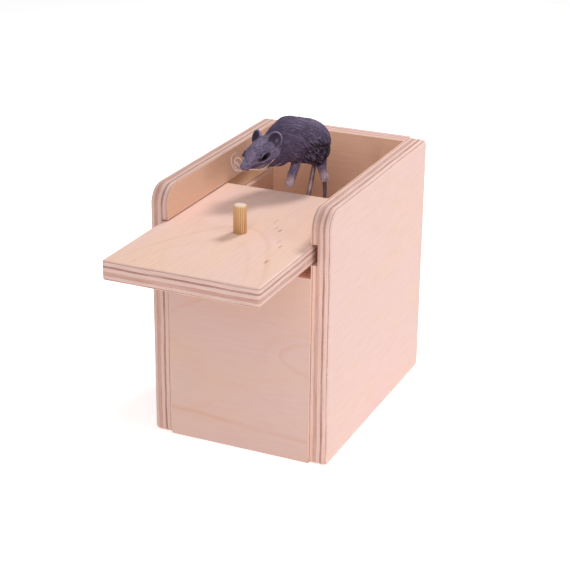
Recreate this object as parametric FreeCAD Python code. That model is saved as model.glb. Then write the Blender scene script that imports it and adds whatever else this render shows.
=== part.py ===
import FreeCAD, Part
import math
import os

# Surprise mouse box: a plywood box whose sliding lid works a rack, a pinion and a bent wire arm,
# so that a rubber mouse stands up behind the lid as the lid is drawn forward.
# Millimetres. +X is right, +Y is back, +Z is up. The origin is the centre of the box's bottom face.
# The solids are in the pose with the lid drawn out and the mouse up.

Vec = FreeCAD.Vector

# Box
box_width = 88.0
box_depth = 122.0
box_height = 122.0
panel_thickness = 9.0
front_panel_below_groove = 6.5
side_top_front_radius = 9.0
side_top_back_radius = 3.2
side_bottom_radius = 2.5
side_outer_round = 2.0

# Groove for the lid
groove_below_top = 24.8
groove_depth = 3.0
groove_headroom = 0.65

# Lid
lid_thickness = 9.0
lid_rear_past_axle = 11.3
lid_left_clearance = 0.2
lid_right_clearance = 2.4
lid_under_clearance = 0.05
lid_back_clearance = 0.2
lid_front_overhang = 1.2
lid_corner_radius = 1.5
lid_edge_round = 0.9

# Knob
knob_diameter = 6.0
knob_height = 12.9
knob_depth_in_lid = 5.0
knob_from_lid_front = 55.6
knob_chamfer = 0.5

# Panel dowels
dowel_diameter = 5.0
dowel_depth_in_side = 5.5
dowel_depth_in_panel = 14.5
dowel_end_room = 0.4
dowel_edge_distance = 19.0
dowel_clearance = 0.03

# Rack and pinion
tooth_module = 1.5
pinion_teeth = 22
pressure_angle = math.radians(20.0)
tooth_root_share = 1.25
tooth_flank_steps = 4
tooth_backlash = 0.16
pinion_width = 6.0
pinion_centre_x = -17.0
pinion_boss_diameter = 12.0
pinion_boss_length = 6.0
rack_width = 7.6
rack_backing = 2.4
rack_tip_recess = 0.2
rack_side_clearance = 0.2
rack_end_clearance = 0.3
rack_tab_length = 7.0

# Rack screws
rack_screw_diameter = 2.0
rack_screw_head_diameter = 3.8
rack_screw_head_height = 1.0
rack_screw_bite = 2.2
rack_screw_slot_width = 0.5
rack_screw_slot_depth = 0.45

# Lid stop pins
stop_pin_diameter = 5.0
stop_pin_overlap = 2.7
stop_pin_depth_in_lid = 5.0
stop_pin_from_side = 7.5
stop_clearance = 0.05

# Axle and bushes
axle_diameter = 4.0
axle_behind_front = 49.0
axle_end_play = 0.3
bush_outer_diameter = 8.0
bush_depth = 5.0
bush_flange_diameter = 11.0
bush_flange_thickness = 1.0
running_clearance = 0.03
seat_clearance = 0.02

# Arm hub, set screws and wire
hub_diameter = 14.0
hub_width = 8.0
wire_diameter = 2.2
wire_plane_x = 4.0
wire_seat_radius = 2.6
wire_bend_back = 18.2
wire_bend_up = 18.05
wire_bend_radius = 8.0
wire_rise = 23.5
wire_lean = math.radians(24.7)
set_screw_diameter = 3.0
set_screw_length = 3.6
set_screw_socket = 1.5
set_screw_socket_depth = 1.5
set_screw_socket_sides = 6

# Mouse. Yaw turns the nose from the front towards the left side, pitch lifts it.
# The body is placed from the wire's tip, the chest from the body and the head from the chest.
body_yaw = 45.0
body_pitch = 8.0
body_half_length = 13.6
body_half_width = 9.8
body_half_height = 11.0
body_left_of_wire = 4.0
body_front_of_wire = 6.8
body_above_wire = 5.3
chest_yaw = 38.0
chest_pitch = 4.0
chest_half_length = 9.5
chest_half_width = 9.0
chest_half_height = 10.6
chest_left_of_body = 7.5
chest_front_of_body = 8.5
chest_above_body = 0.8
head_yaw = 13.5
head_pitch = -19.5
head_roll = 8.0
head_half_length = 10.5
head_half_width = 7.2
head_half_height = 6.4
head_left_of_chest = 3.75
head_front_of_chest = 12.6
head_below_chest = 2.1
snout_half_length = 6.0
snout_half_width = 3.8
snout_half_height = 3.4
snout_ahead = 11.0
snout_above = 1.2

# Ears, eyes and whiskers, placed from the head's centre
ear_half_width = 3.7
ear_half_height = 4.1
ear_half_thickness = 1.3
ear_rim = 0.7
ear_bowl_ahead = 2.0
ear_bowl_half_depth = 2.05
ear_turn = 40.0
ear_lean = 25.0
ear_behind = 4.8
ear_above = 4.6
ear_in_from_side = 1.6
eye_radius = 1.35
eye_ahead = 5.6
eye_above = 0.6
eye_in_from_side = 1.4
whisker_diameter = 0.6
whisker_length = 9.0
whisker_count = 3
whisker_fan = 0.35
whisker_sweep = 0.7
whisker_root_ahead = 12.0
whisker_root_inset = 1.5

# Legs and tail, placed from the body's centre along its level axes
hip_side = 4.6
hip_drop = 5.0
foot_side = 5.35
far_leg_setback = 3.5
front_hip_ahead = 4.7
front_foot_ahead = 8.6
front_foot_drop = 19.6
front_hip_radius = 2.5
front_ankle_radius = 1.8
hind_hip_behind = 5.0
hind_foot_behind = 8.8
hind_foot_drop = 18.6
hind_hip_radius = 2.6
hind_ankle_radius = 1.9
foot_half_length = 2.4
foot_half_width = 2.1
foot_half_height = 1.3
tail_behind = 10.8
tail_bow = 0.9
tail_drop = 35.3
tail_root_radius = 1.7
tail_tip_radius = 0.7
tail_rings = 5

# Places worked out from the sizes
front_y = -box_depth / 2
back_y = box_depth / 2
front_inner_y = front_y + panel_thickness
back_inner_y = back_y - panel_thickness
inner_half_width = box_width / 2 - panel_thickness
groove_floor_height = box_height - groove_below_top
front_panel_height = groove_floor_height - front_panel_below_groove
groove_height = lid_under_clearance + lid_thickness + groove_headroom
axle_y = front_y + axle_behind_front

lid_bottom_z = groove_floor_height + lid_under_clearance
lid_top_z = lid_bottom_z + lid_thickness
lid_middle_z = lid_bottom_z + lid_thickness / 2
lid_left_x = lid_left_clearance - inner_half_width - groove_depth
lid_right_x = inner_half_width + groove_depth - lid_right_clearance
lid_rear_y = axle_y + lid_rear_past_axle
lid_travel = back_inner_y - lid_back_clearance - lid_rear_y
lid_front_y = front_y - lid_front_overhang - lid_travel
knob_y = lid_front_y + knob_from_lid_front

pitch_radius = tooth_module * pinion_teeth / 2
tooth_pitch = math.pi * tooth_module
addendum = tooth_module
dedendum = tooth_root_share * tooth_module
rack_tip_z = lid_bottom_z + rack_tip_recess
rack_pitch_z = rack_tip_z + addendum
rack_root_z = rack_pitch_z + dedendum
rack_top_z = rack_root_z + rack_backing
axle_z = rack_pitch_z - pitch_radius
rack_teeth = math.ceil((lid_travel + tooth_pitch) / tooth_pitch) + 1
rack_first_tooth_y = axle_y + tooth_pitch / 2
rack_last_tooth_y = rack_first_tooth_y - (rack_teeth - 1) * tooth_pitch
rack_front_y = rack_last_tooth_y - tooth_pitch / 2 - rack_tab_length
rack_rear_y = lid_rear_y - rack_end_clearance
rack_tab_screws_y = [
    (rack_front_y + rack_last_tooth_y - tooth_pitch / 2) / 2,
    (rack_rear_y + rack_first_tooth_y + tooth_pitch / 2) / 2,
]
stop_pin_x = inner_half_width - stop_pin_from_side
stop_pin_y = front_inner_y + stop_clearance + stop_pin_diameter / 2


def box_between(low, high):
    """Block with these two opposite corners."""
    size = high - low
    return Part.makeBox(size.x, size.y, size.z, low)


def rod(start, direction, radius, length):
    """Round bar from start along direction."""
    return Part.makeCylinder(radius, length, start, direction)


def arc_edge(centre_y, centre_z, radius, start_deg, end_deg, x):
    """Arc in a plane square to X, from one angle to the other."""
    angles = [math.radians(a) for a in (start_deg, (start_deg + end_deg) / 2, end_deg)]
    points = [Vec(x, centre_y + radius * math.cos(a), centre_z + radius * math.sin(a)) for a in angles]
    return Part.Arc(*points).toShape()


def closed_prism(edges, length):
    """Solid swept along X from a closed row of edges."""
    return Part.Face(Part.Wire(edges)).extrude(Vec(length, 0, 0))


def polygon_prism(points, length):
    """Solid swept along X from a closed row of points."""
    corners = points + [points[0]]
    return Part.Face(Part.makePolygon(corners)).extrude(Vec(length, 0, 0))


# Panel dowels: the (y, z) places where they cross the side joints

front_dowel_heights = [
    dowel_edge_distance,
    front_panel_height / 2,
    front_panel_height - dowel_edge_distance,
]
back_dowel_heights = [
    dowel_edge_distance,
    box_height / 2,
    (groove_floor_height + groove_height + box_height) / 2,
]
bottom_dowel_ys = [
    front_inner_y + dowel_edge_distance,
    0.0,
    back_inner_y - dowel_edge_distance,
]
front_dowel_places = [(front_y + panel_thickness / 2, z) for z in front_dowel_heights]
back_dowel_places = [(back_y - panel_thickness / 2, z) for z in back_dowel_heights]
bottom_dowel_places = [(y, panel_thickness / 2) for y in bottom_dowel_ys]


def dowel_bars(places, extra_radius, extra_length):
    """One bar across each side joint at each place, at both sides of the box."""
    bars = []
    length = dowel_depth_in_side + dowel_depth_in_panel + 2 * extra_length
    for side in (-1, 1):
        for y, z in places:
            start = Vec(side * (inner_half_width + dowel_depth_in_side + extra_length), y, z)
            bars.append(rod(start, Vec(-side, 0, 0), dowel_diameter / 2 + extra_radius, length))
    return bars


def dowel_holes(places):
    return Part.makeCompound(dowel_bars(places, dowel_clearance, dowel_end_room))


def side_panel(side):
    """Full side panel, side -1 on the left and 1 on the right, rounded all round its outer face."""
    x = inner_half_width if side > 0 else -box_width / 2
    bottom = side_bottom_radius
    top_front = side_top_front_radius
    top_back = side_top_back_radius
    edges = [
        arc_edge(front_y + bottom, bottom, bottom, 270, 180, x),
        Part.makeLine(Vec(x, front_y, bottom), Vec(x, front_y, box_height - top_front)),
        arc_edge(front_y + top_front, box_height - top_front, top_front, 180, 90, x),
        Part.makeLine(Vec(x, front_y + top_front, box_height), Vec(x, back_y - top_back, box_height)),
        arc_edge(back_y - top_back, box_height - top_back, top_back, 90, 0, x),
        Part.makeLine(Vec(x, back_y, box_height - top_back), Vec(x, back_y, bottom)),
        arc_edge(back_y - bottom, bottom, bottom, 0, -90, x),
        Part.makeLine(Vec(x, back_y - bottom, 0), Vec(x, front_y + bottom, 0)),
    ]
    board = closed_prism(edges, panel_thickness)
    outer_rim = [e for e in board.Edges if side * e.CenterOfMass.x > inner_half_width + panel_thickness / 2]
    outer_rim = [e for e in outer_rim if e.BoundBox.XLength < panel_thickness / 2]
    panel = board.makeFillet(side_outer_round, outer_rim)
    groove_bottom_x = side * (inner_half_width + groove_depth)
    face_x = side * inner_half_width
    groove = box_between(
        Vec(min(groove_bottom_x, face_x), front_y, groove_floor_height),
        Vec(max(groove_bottom_x, face_x), back_inner_y, groove_floor_height + groove_height),
    )
    bush_hole = rod(
        Vec(face_x, axle_y, axle_z),
        Vec(side, 0, 0),
        bush_outer_diameter / 2 + seat_clearance,
        bush_depth + axle_end_play,
    )
    return panel.cut([
        groove,
        bush_hole,
        dowel_holes(front_dowel_places),
        dowel_holes(back_dowel_places),
        dowel_holes(bottom_dowel_places),
    ])


def front_panel():
    panel = box_between(
        Vec(-inner_half_width, front_y, 0),
        Vec(inner_half_width, front_inner_y, front_panel_height),
    )
    return panel.cut(dowel_holes(front_dowel_places))


def back_panel():
    panel = box_between(
        Vec(-inner_half_width, back_inner_y, 0),
        Vec(inner_half_width, back_y, box_height),
    )
    return panel.cut(dowel_holes(back_dowel_places))


def bottom_panel():
    panel = box_between(
        Vec(-inner_half_width, front_inner_y, 0),
        Vec(inner_half_width, back_inner_y, panel_thickness),
    )
    return panel.cut(dowel_holes(bottom_dowel_places))


def axle_bush(side):
    """Flanged bush, pressed into the side panel's blind hole."""
    face_x = side * inner_half_width
    sleeve = rod(Vec(face_x, axle_y, axle_z), Vec(side, 0, 0), bush_outer_diameter / 2, bush_depth)
    flange = rod(
        Vec(face_x, axle_y, axle_z),
        Vec(-side, 0, 0),
        bush_flange_diameter / 2,
        bush_flange_thickness,
    )
    bore = rod(
        Vec(side * (inner_half_width - bush_flange_thickness), axle_y, axle_z),
        Vec(side, 0, 0),
        axle_diameter / 2 + running_clearance,
        bush_flange_thickness + bush_depth,
    )
    return sleeve.fuse(flange).cut(bore).removeSplitter()


# Lid and what is fixed to it

def rack_slot():
    half_slot = rack_width / 2 + rack_side_clearance
    return box_between(
        Vec(pinion_centre_x - half_slot, rack_front_y - rack_end_clearance, lid_bottom_z),
        Vec(pinion_centre_x + half_slot, lid_rear_y, rack_top_z),
    )


def stop_pin(side, clearance):
    start = Vec(side * stop_pin_x, stop_pin_y, lid_bottom_z + stop_pin_depth_in_lid)
    length = stop_pin_depth_in_lid + lid_under_clearance + front_panel_below_groove + stop_pin_overlap
    return rod(start, Vec(0, 0, -1), stop_pin_diameter / 2 + clearance, length)


def lid_panel():
    board = box_between(
        Vec(lid_left_x, lid_front_y, lid_bottom_z),
        Vec(lid_right_x, lid_rear_y, lid_top_z),
    )
    front_corners = [e for e in board.Edges if e.BoundBox.ZLength > 0 and e.BoundBox.YMax < front_y]
    board = board.makeFillet(lid_corner_radius, front_corners)
    rims = [e for e in board.Edges if abs(e.CenterOfMass.z - lid_middle_z) > lid_thickness / 4]
    panel = board.makeFillet(lid_edge_round, [e for e in rims if e.BoundBox.YMin < front_y])
    knob_hole = rod(
        Vec(0, knob_y, lid_top_z - knob_depth_in_lid),
        Vec(0, 0, 1),
        knob_diameter / 2 + seat_clearance,
        knob_depth_in_lid,
    )
    cuts = [rack_slot(), knob_hole]
    cuts += [stop_pin(side, seat_clearance) for side in (-1, 1)]
    cuts += [rack_screw_hole(y) for y in rack_tab_screws_y]
    return panel.cut(cuts)


def lid_knob():
    length = knob_depth_in_lid + knob_height
    knob = rod(Vec(0, knob_y, lid_top_z - knob_depth_in_lid), Vec(0, 0, 1), knob_diameter / 2, length)
    top_edges = [e for e in knob.Edges if e.BoundBox.ZMin > lid_top_z]
    return knob.makeChamfer(knob_chamfer, top_edges)


def rack_screw(y, clearance):
    """Countersunk wood screw, driven up through a rack tab, with its head flush with the tab."""
    head = Part.makeCone(
        rack_screw_head_diameter / 2 + clearance,
        rack_screw_diameter / 2 + clearance,
        rack_screw_head_height,
        Vec(pinion_centre_x, y, rack_root_z),
        Vec(0, 0, 1),
    )
    shank = rod(
        Vec(pinion_centre_x, y, rack_root_z),
        Vec(0, 0, 1),
        rack_screw_diameter / 2 + clearance,
        rack_backing + rack_screw_bite,
    )
    return head.fuse(shank)


def rack_screw_hole(y):
    return rack_screw(y, seat_clearance)


def slotted_rack_screw(y):
    slot = box_between(
        Vec(pinion_centre_x - rack_screw_slot_width / 2, y - rack_screw_head_diameter, rack_root_z),
        Vec(
            pinion_centre_x + rack_screw_slot_width / 2,
            y + rack_screw_head_diameter,
            rack_root_z + rack_screw_slot_depth,
        ),
    )
    return rack_screw(y, 0).cut(slot).removeSplitter()


def drive_rack():
    """Straight-sided teeth that point down, with a flat tab at each end."""
    x = pinion_centre_x - rack_width / 2
    half_tooth = tooth_pitch / 4 - tooth_backlash / 4
    tip_half = half_tooth - addendum * math.tan(pressure_angle)
    root_half = half_tooth + dedendum * math.tan(pressure_angle)
    points = [Vec(x, rack_rear_y, rack_top_z), Vec(x, rack_rear_y, rack_root_z)]
    for n in range(rack_teeth):
        y = rack_first_tooth_y - n * tooth_pitch
        points += [
            Vec(x, y + root_half, rack_root_z),
            Vec(x, y + tip_half, rack_tip_z),
            Vec(x, y - tip_half, rack_tip_z),
            Vec(x, y - root_half, rack_root_z),
        ]
    points += [Vec(x, rack_front_y, rack_root_z), Vec(x, rack_front_y, rack_top_z)]
    rack = polygon_prism(points, rack_width)
    return rack.cut([rack_screw_hole(y) for y in rack_tab_screws_y])


# Arm

def set_screw(start, direction, clearance, cut_socket):
    """Grub screw from start, its inner end, outwards along direction, with a hexagon socket."""
    screw = rod(start, direction, set_screw_diameter / 2 + clearance, set_screw_length)
    if not cut_socket:
        return screw
    turn = FreeCAD.Rotation(Vec(0, 0, 1), direction)
    corners = []
    for n in range(set_screw_socket_sides + 1):
        angle = 2 * math.pi * n / set_screw_socket_sides
        corner = Vec(set_screw_socket / 2 * math.cos(angle), set_screw_socket / 2 * math.sin(angle), 0)
        corners.append(start + turn.multVec(corner) + direction * set_screw_length)
    socket = Part.Face(Part.makePolygon(corners)).extrude(direction * -set_screw_socket_depth)
    return screw.cut(socket)


set_screw_out = Vec(0, 0, -1)
pinion_boss_centre_x = pinion_centre_x + (pinion_width + pinion_boss_length) / 2
pinion_screw_start = Vec(pinion_boss_centre_x, axle_y, axle_z - axle_diameter / 2)
hub_screw_start = Vec(wire_plane_x, axle_y, axle_z - axle_diameter / 2)


def screw_way(start, length):
    """Tapped hole for a set screw, from the shaft to outside."""
    return rod(start, set_screw_out, set_screw_diameter / 2 + seat_clearance, length)


def axle():
    half_length = inner_half_width + bush_depth
    return rod(Vec(-half_length, axle_y, axle_z), Vec(1, 0, 0), axle_diameter / 2, 2 * half_length)


def involute_half_angle(radius):
    """Half of the angle that a pinion tooth fills at this radius."""
    base_radius = pitch_radius * math.cos(pressure_angle)
    half_at_pitch = (tooth_pitch / 2 - tooth_backlash / 2) / 2 / pitch_radius
    local_angle = math.acos(min(1.0, base_radius / radius))
    return (
        half_at_pitch
        + (math.tan(pressure_angle) - pressure_angle)
        - (math.tan(local_angle) - local_angle)
    )


def pinion_point(radius, angle):
    x = pinion_centre_x - pinion_width / 2
    return Vec(x, axle_y + radius * math.cos(angle), axle_z + radius * math.sin(angle))


def pinion_flank(centre_angle, side):
    """Involute from the base circle to the tip circle, on one side of a tooth."""
    base_radius = pitch_radius * math.cos(pressure_angle)
    tip_radius = pitch_radius + addendum
    points = []
    for n in range(tooth_flank_steps + 1):
        radius = base_radius + (tip_radius - base_radius) * n / tooth_flank_steps
        points.append(pinion_point(radius, centre_angle + side * involute_half_angle(radius)))
    return points


def spline_edge(points):
    curve = Part.BSplineCurve()
    curve.interpolate(points)
    return curve.toShape()


def drive_pinion():
    """Involute spur gear with a boss, one tooth pointing straight up into the rack."""
    root_radius = pitch_radius - dedendum
    tip_radius = pitch_radius + addendum
    root_half = involute_half_angle(pitch_radius * math.cos(pressure_angle))
    step = 2 * math.pi / pinion_teeth
    edges = []
    for n in range(pinion_teeth):
        centre = math.pi / 2 + n * step
        rising = pinion_flank(centre, -1)
        falling = list(reversed(pinion_flank(centre, 1)))
        root_in = pinion_point(root_radius, centre - root_half)
        root_out = pinion_point(root_radius, centre + root_half)
        next_root = pinion_point(root_radius, centre + step - root_half)
        edges += [
            Part.makeLine(root_in, rising[0]),
            spline_edge(rising),
            Part.Arc(rising[-1], pinion_point(tip_radius, centre), falling[0]).toShape(),
            spline_edge(falling),
            Part.makeLine(falling[-1], root_out),
            Part.Arc(root_out, pinion_point(root_radius, centre + step / 2), next_root).toShape(),
        ]
    gear = closed_prism(edges, pinion_width)
    boss = rod(
        Vec(pinion_centre_x + pinion_width / 2, axle_y, axle_z),
        Vec(1, 0, 0),
        pinion_boss_diameter / 2,
        pinion_boss_length,
    )
    bore = rod(
        Vec(pinion_centre_x - pinion_width / 2, axle_y, axle_z),
        Vec(1, 0, 0),
        axle_diameter / 2 + seat_clearance,
        pinion_width + pinion_boss_length,
    )
    return gear.fuse(boss).cut([bore, screw_way(pinion_screw_start, pinion_boss_diameter)])


# The wire lies in one plane square to the axle: out of the hub, one bend, then up into the belly.
wire_bend = Vec(wire_plane_x, axle_y + wire_bend_back, axle_z + wire_bend_up)
wire_first_angle = math.atan2(wire_bend_back, wire_bend_up)
wire_first_direction = Vec(0, math.sin(wire_first_angle), math.cos(wire_first_angle))
wire_up_direction = Vec(0, math.sin(wire_lean), math.cos(wire_lean))
wire_start = Vec(wire_plane_x, axle_y, axle_z) + wire_first_direction * wire_seat_radius
wire_tip = wire_bend + wire_up_direction * (wire_rise / math.cos(wire_lean))


def wire_bar(radius):
    """Round bar along the wire's two runs and the arc that joins them."""
    turn = wire_first_angle - wire_lean
    trim = wire_bend_radius * math.tan(turn / 2)
    arc_start = wire_bend - wire_first_direction * trim
    arc_end = wire_bend + wire_up_direction * trim
    middle_direction = wire_up_direction - wire_first_direction
    middle_direction.normalize()
    inside = wire_bend_radius / math.cos(turn / 2) - wire_bend_radius
    arc_middle = wire_bend + middle_direction * inside
    path = Part.Wire([
        Part.makeLine(wire_start, arc_start),
        Part.Arc(arc_start, arc_middle, arc_end).toShape(),
        Part.makeLine(arc_end, wire_tip),
    ])
    section = Part.Wire([Part.Circle(wire_start, wire_first_direction, radius).toShape()])
    return path.makePipeShell([section], True, False)


def arm_hub():
    hub = rod(
        Vec(wire_plane_x - hub_width / 2, axle_y, axle_z),
        Vec(1, 0, 0),
        hub_diameter / 2,
        hub_width,
    )
    bore = rod(
        Vec(wire_plane_x - hub_width / 2, axle_y, axle_z),
        Vec(1, 0, 0),
        axle_diameter / 2 + seat_clearance,
        hub_width,
    )
    wire_hole = rod(wire_start, wire_first_direction, wire_diameter / 2 + seat_clearance, hub_diameter)
    return hub.cut([bore, wire_hole, screw_way(hub_screw_start, hub_diameter)])


# Mouse

def turned_axes(yaw, pitch, roll):
    """Forward, sideways (towards the right) and up directions of a form that is turned this way."""
    yaw_angle, pitch_angle, roll_angle = (math.radians(a) for a in (yaw, pitch, roll))
    forward = Vec(
        -math.sin(yaw_angle) * math.cos(pitch_angle),
        -math.cos(yaw_angle) * math.cos(pitch_angle),
        math.sin(pitch_angle),
    )
    level_side = Vec(math.cos(yaw_angle), -math.sin(yaw_angle), 0)
    level_up = forward.cross(level_side)
    side = level_side * math.cos(roll_angle) + level_up * math.sin(roll_angle)
    up = level_up * math.cos(roll_angle) - level_side * math.sin(roll_angle)
    return forward, side, up


def offset(origin, axes, ahead, sideways, above):
    forward, side, up = axes
    return origin + forward * ahead + side * sideways + up * above


def ellipsoid(centre, axes, half_length, half_width, half_height):
    forward, side, up = axes
    a, b, c = forward * half_length, side * half_width, up * half_height
    matrix = FreeCAD.Matrix(
        a.x, b.x, c.x, centre.x,
        a.y, b.y, c.y, centre.y,
        a.z, b.z, c.z, centre.z,
        0, 0, 0, 1,
    )
    return Part.makeSphere(1.0).transformGeometry(matrix)


def tapered_limb(points, radii):
    """Loft through circles, square to the limb's run, from its low end up."""
    rings = []
    for n, (point, radius) in enumerate(zip(points, radii)):
        before = points[max(0, n - 1)]
        after = points[min(len(points) - 1, n + 1)]
        direction = after - before
        direction.normalize()
        ring = Part.Wire([Part.Circle(Vec(0, 0, 0), Vec(0, 0, 1), radius).toShape()])
        ring.Placement = FreeCAD.Placement(point, FreeCAD.Rotation(Vec(0, 0, 1), direction))
        rings.append(ring)
    return Part.makeLoft(rings, True, False)


def main_solid(shape):
    """The largest solid of a cut shape, without the chips that a cut leaves."""
    return max(shape.Solids, key=lambda solid: solid.Volume)


body_axes = turned_axes(body_yaw, body_pitch, 0)
level_axes = turned_axes(body_yaw, 0, 0)
chest_axes = turned_axes(chest_yaw, chest_pitch, 0)
head_axes = turned_axes(head_yaw, head_pitch, head_roll)
body_centre = wire_tip + Vec(-body_left_of_wire, -body_front_of_wire, body_above_wire)
chest_centre = body_centre + Vec(-chest_left_of_body, -chest_front_of_body, chest_above_body)
head_centre = chest_centre + Vec(-head_left_of_chest, -head_front_of_chest, -head_below_chest)
near_and_far = (1, -1)

torso = ellipsoid(body_centre, body_axes, body_half_length, body_half_width, body_half_height)
chest = ellipsoid(chest_centre, chest_axes, chest_half_length, chest_half_width, chest_half_height)
body_form = torso.fuse(chest)
skull = ellipsoid(head_centre, head_axes, head_half_length, head_half_width, head_half_height)
snout = ellipsoid(
    offset(head_centre, head_axes, snout_ahead, 0, snout_above),
    head_axes,
    snout_half_length,
    snout_half_width,
    snout_half_height,
)
head_form = skull.fuse(snout)


def eye(side, clearance):
    sideways = side * (head_half_width - eye_in_from_side)
    centre = offset(head_centre, head_axes, eye_ahead, sideways, eye_above)
    return Part.makeSphere(eye_radius + clearance, centre)


def mouse_body():
    return body_form.cut(wire_bar(wire_diameter / 2 + seat_clearance))


def mouse_head():
    sockets = [eye(side, seat_clearance) for side in near_and_far]
    return main_solid(head_form.cut([body_form] + sockets))


def mouse_ear(side):
    """Dished oval that faces forward and outward, rooted in the head."""
    forward, across, up = head_axes
    turn = math.radians(ear_turn)
    lean = math.radians(ear_lean)
    facing = forward * math.cos(turn) + across * (side * math.sin(turn))
    breadth = across * math.cos(turn) - forward * (side * math.sin(turn))
    rise = up * math.cos(lean) + breadth * (side * math.sin(lean))
    level = rise.cross(facing)
    ear_axes = (facing, level, rise)
    sideways = side * (head_half_width - ear_in_from_side)
    centre = offset(head_centre, head_axes, -ear_behind, sideways, ear_above)
    shell = ellipsoid(centre, ear_axes, ear_half_thickness, ear_half_width, ear_half_height)
    bowl = ellipsoid(
        centre + facing * ear_bowl_ahead,
        ear_axes,
        ear_bowl_half_depth,
        ear_half_width - ear_rim,
        ear_half_height - ear_rim,
    )
    return main_solid(shell.cut(bowl).cut(body_form).cut(head_form))


def mouse_leg(side, hip_ahead, foot_ahead, foot_drop, hip_radius, ankle_radius):
    """Tapered leg with a flattened foot. The far leg stands a little further back."""
    setback = far_leg_setback if side < 0 else 0
    hip = offset(body_centre, level_axes, hip_ahead - setback, side * hip_side, -hip_drop)
    foot = offset(body_centre, level_axes, foot_ahead - setback, side * foot_side, -foot_drop)
    run = hip - foot
    leg = Part.makeCone(ankle_radius, hip_radius, run.Length, foot, run)
    paw = ellipsoid(foot, level_axes, foot_half_length, foot_half_width, foot_half_height)
    return main_solid(leg.fuse(paw).cut(body_form))


def mouse_front_legs():
    return [
        mouse_leg(
            side, front_hip_ahead, front_foot_ahead, front_foot_drop, front_hip_radius, front_ankle_radius
        )
        for side in near_and_far
    ]


def mouse_hind_legs():
    return [
        mouse_leg(
            side, -hind_hip_behind, -hind_foot_behind, hind_foot_drop, hind_hip_radius, hind_ankle_radius
        )
        for side in near_and_far
    ]


def mouse_tail():
    """Tapered tail that hangs from the rump with a slight bow."""
    points = []
    radii = []
    for n in range(tail_rings):
        share = n / (tail_rings - 1)
        drop = tail_drop + (hip_drop - tail_drop) * share
        bow = tail_bow * math.sin(2 * math.pi * share)
        points.append(offset(body_centre, level_axes, -tail_behind, bow, -drop))
        radii.append(tail_tip_radius + (tail_root_radius - tail_tip_radius) * share)
    return main_solid(tapered_limb(points, radii).cut(body_form))


def mouse_whiskers():
    """Stiff bristles, fanned out from each side of the muzzle and swept back."""
    forward, across, up = head_axes
    bristles = []
    for side in near_and_far:
        for n in range(whisker_count):
            lift = whisker_fan * (n - (whisker_count - 1) / 2)
            direction = across * side - forward * whisker_sweep + up * lift
            direction.normalize()
            sideways = side * (snout_half_width - whisker_root_inset)
            root = offset(head_centre, head_axes, whisker_root_ahead, sideways, snout_above)
            bristle = rod(root, direction, whisker_diameter / 2, whisker_length)
            bristles.append(main_solid(bristle.cut(head_form)))
    return bristles


def group(shapes):
    return Part.makeCompound(shapes)


nodes = {
    "left_side_panel": side_panel(-1),
    "right_side_panel": side_panel(1),
    "front_panel": front_panel(),
    "back_panel": back_panel(),
    "bottom_panel": bottom_panel(),
    "front_panel_dowels": group(dowel_bars(front_dowel_places, 0, 0)),
    "back_panel_dowels": group(dowel_bars(back_dowel_places, 0, 0)),
    "bottom_panel_dowels": group(dowel_bars(bottom_dowel_places, 0, 0)),
    "axle_bush_left": axle_bush(-1),
    "axle_bush_right": axle_bush(1),
    "lid_panel": lid_panel(),
    "lid_knob": lid_knob(),
    "drive_rack": drive_rack(),
    "rack_screws": group([slotted_rack_screw(y) for y in rack_tab_screws_y]),
    "lid_stop_pins": group([stop_pin(side, 0) for side in (-1, 1)]),
    "arm_axle": axle(),
    "drive_pinion": drive_pinion(),
    "pinion_set_screw": set_screw(pinion_screw_start, set_screw_out, 0, True),
    "arm_hub": arm_hub(),
    "hub_set_screw": set_screw(hub_screw_start, set_screw_out, 0, True),
    "arm_wire": wire_bar(wire_diameter / 2),
    "mouse_body": mouse_body(),
    "mouse_head": mouse_head(),
    "mouse_ears": group([mouse_ear(side) for side in near_and_far]),
    "mouse_eyes": group([eye(side, 0) for side in near_and_far]),
    "mouse_front_legs": group(mouse_front_legs()),
    "mouse_hind_legs": group(mouse_hind_legs()),
    "mouse_tail": mouse_tail(),
    "mouse_whiskers": group(mouse_whiskers()),
}

os.makedirs("parts", exist_ok=True)
for node, shape in nodes.items():
    shape.exportStep("parts/" + node + ".step")
    print(node, len(shape.Solids), "solids", round(shape.Volume, 1), "mm3", "valid", shape.isValid())
print("arm swing, degrees:", round(math.degrees(lid_travel / pitch_radius), 3))
print("coupling, radians per metre of lid travel:", round(1000 / pitch_radius, 4))
print("axle at y, z:", axle_y, round(axle_z, 3))
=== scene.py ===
import math
from collections import namedtuple

import bpy
import numpy as np
import openvdb
from bpy.props import FloatProperty, FloatVectorProperty, PointerProperty
from mathutils import Matrix, Vector


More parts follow.
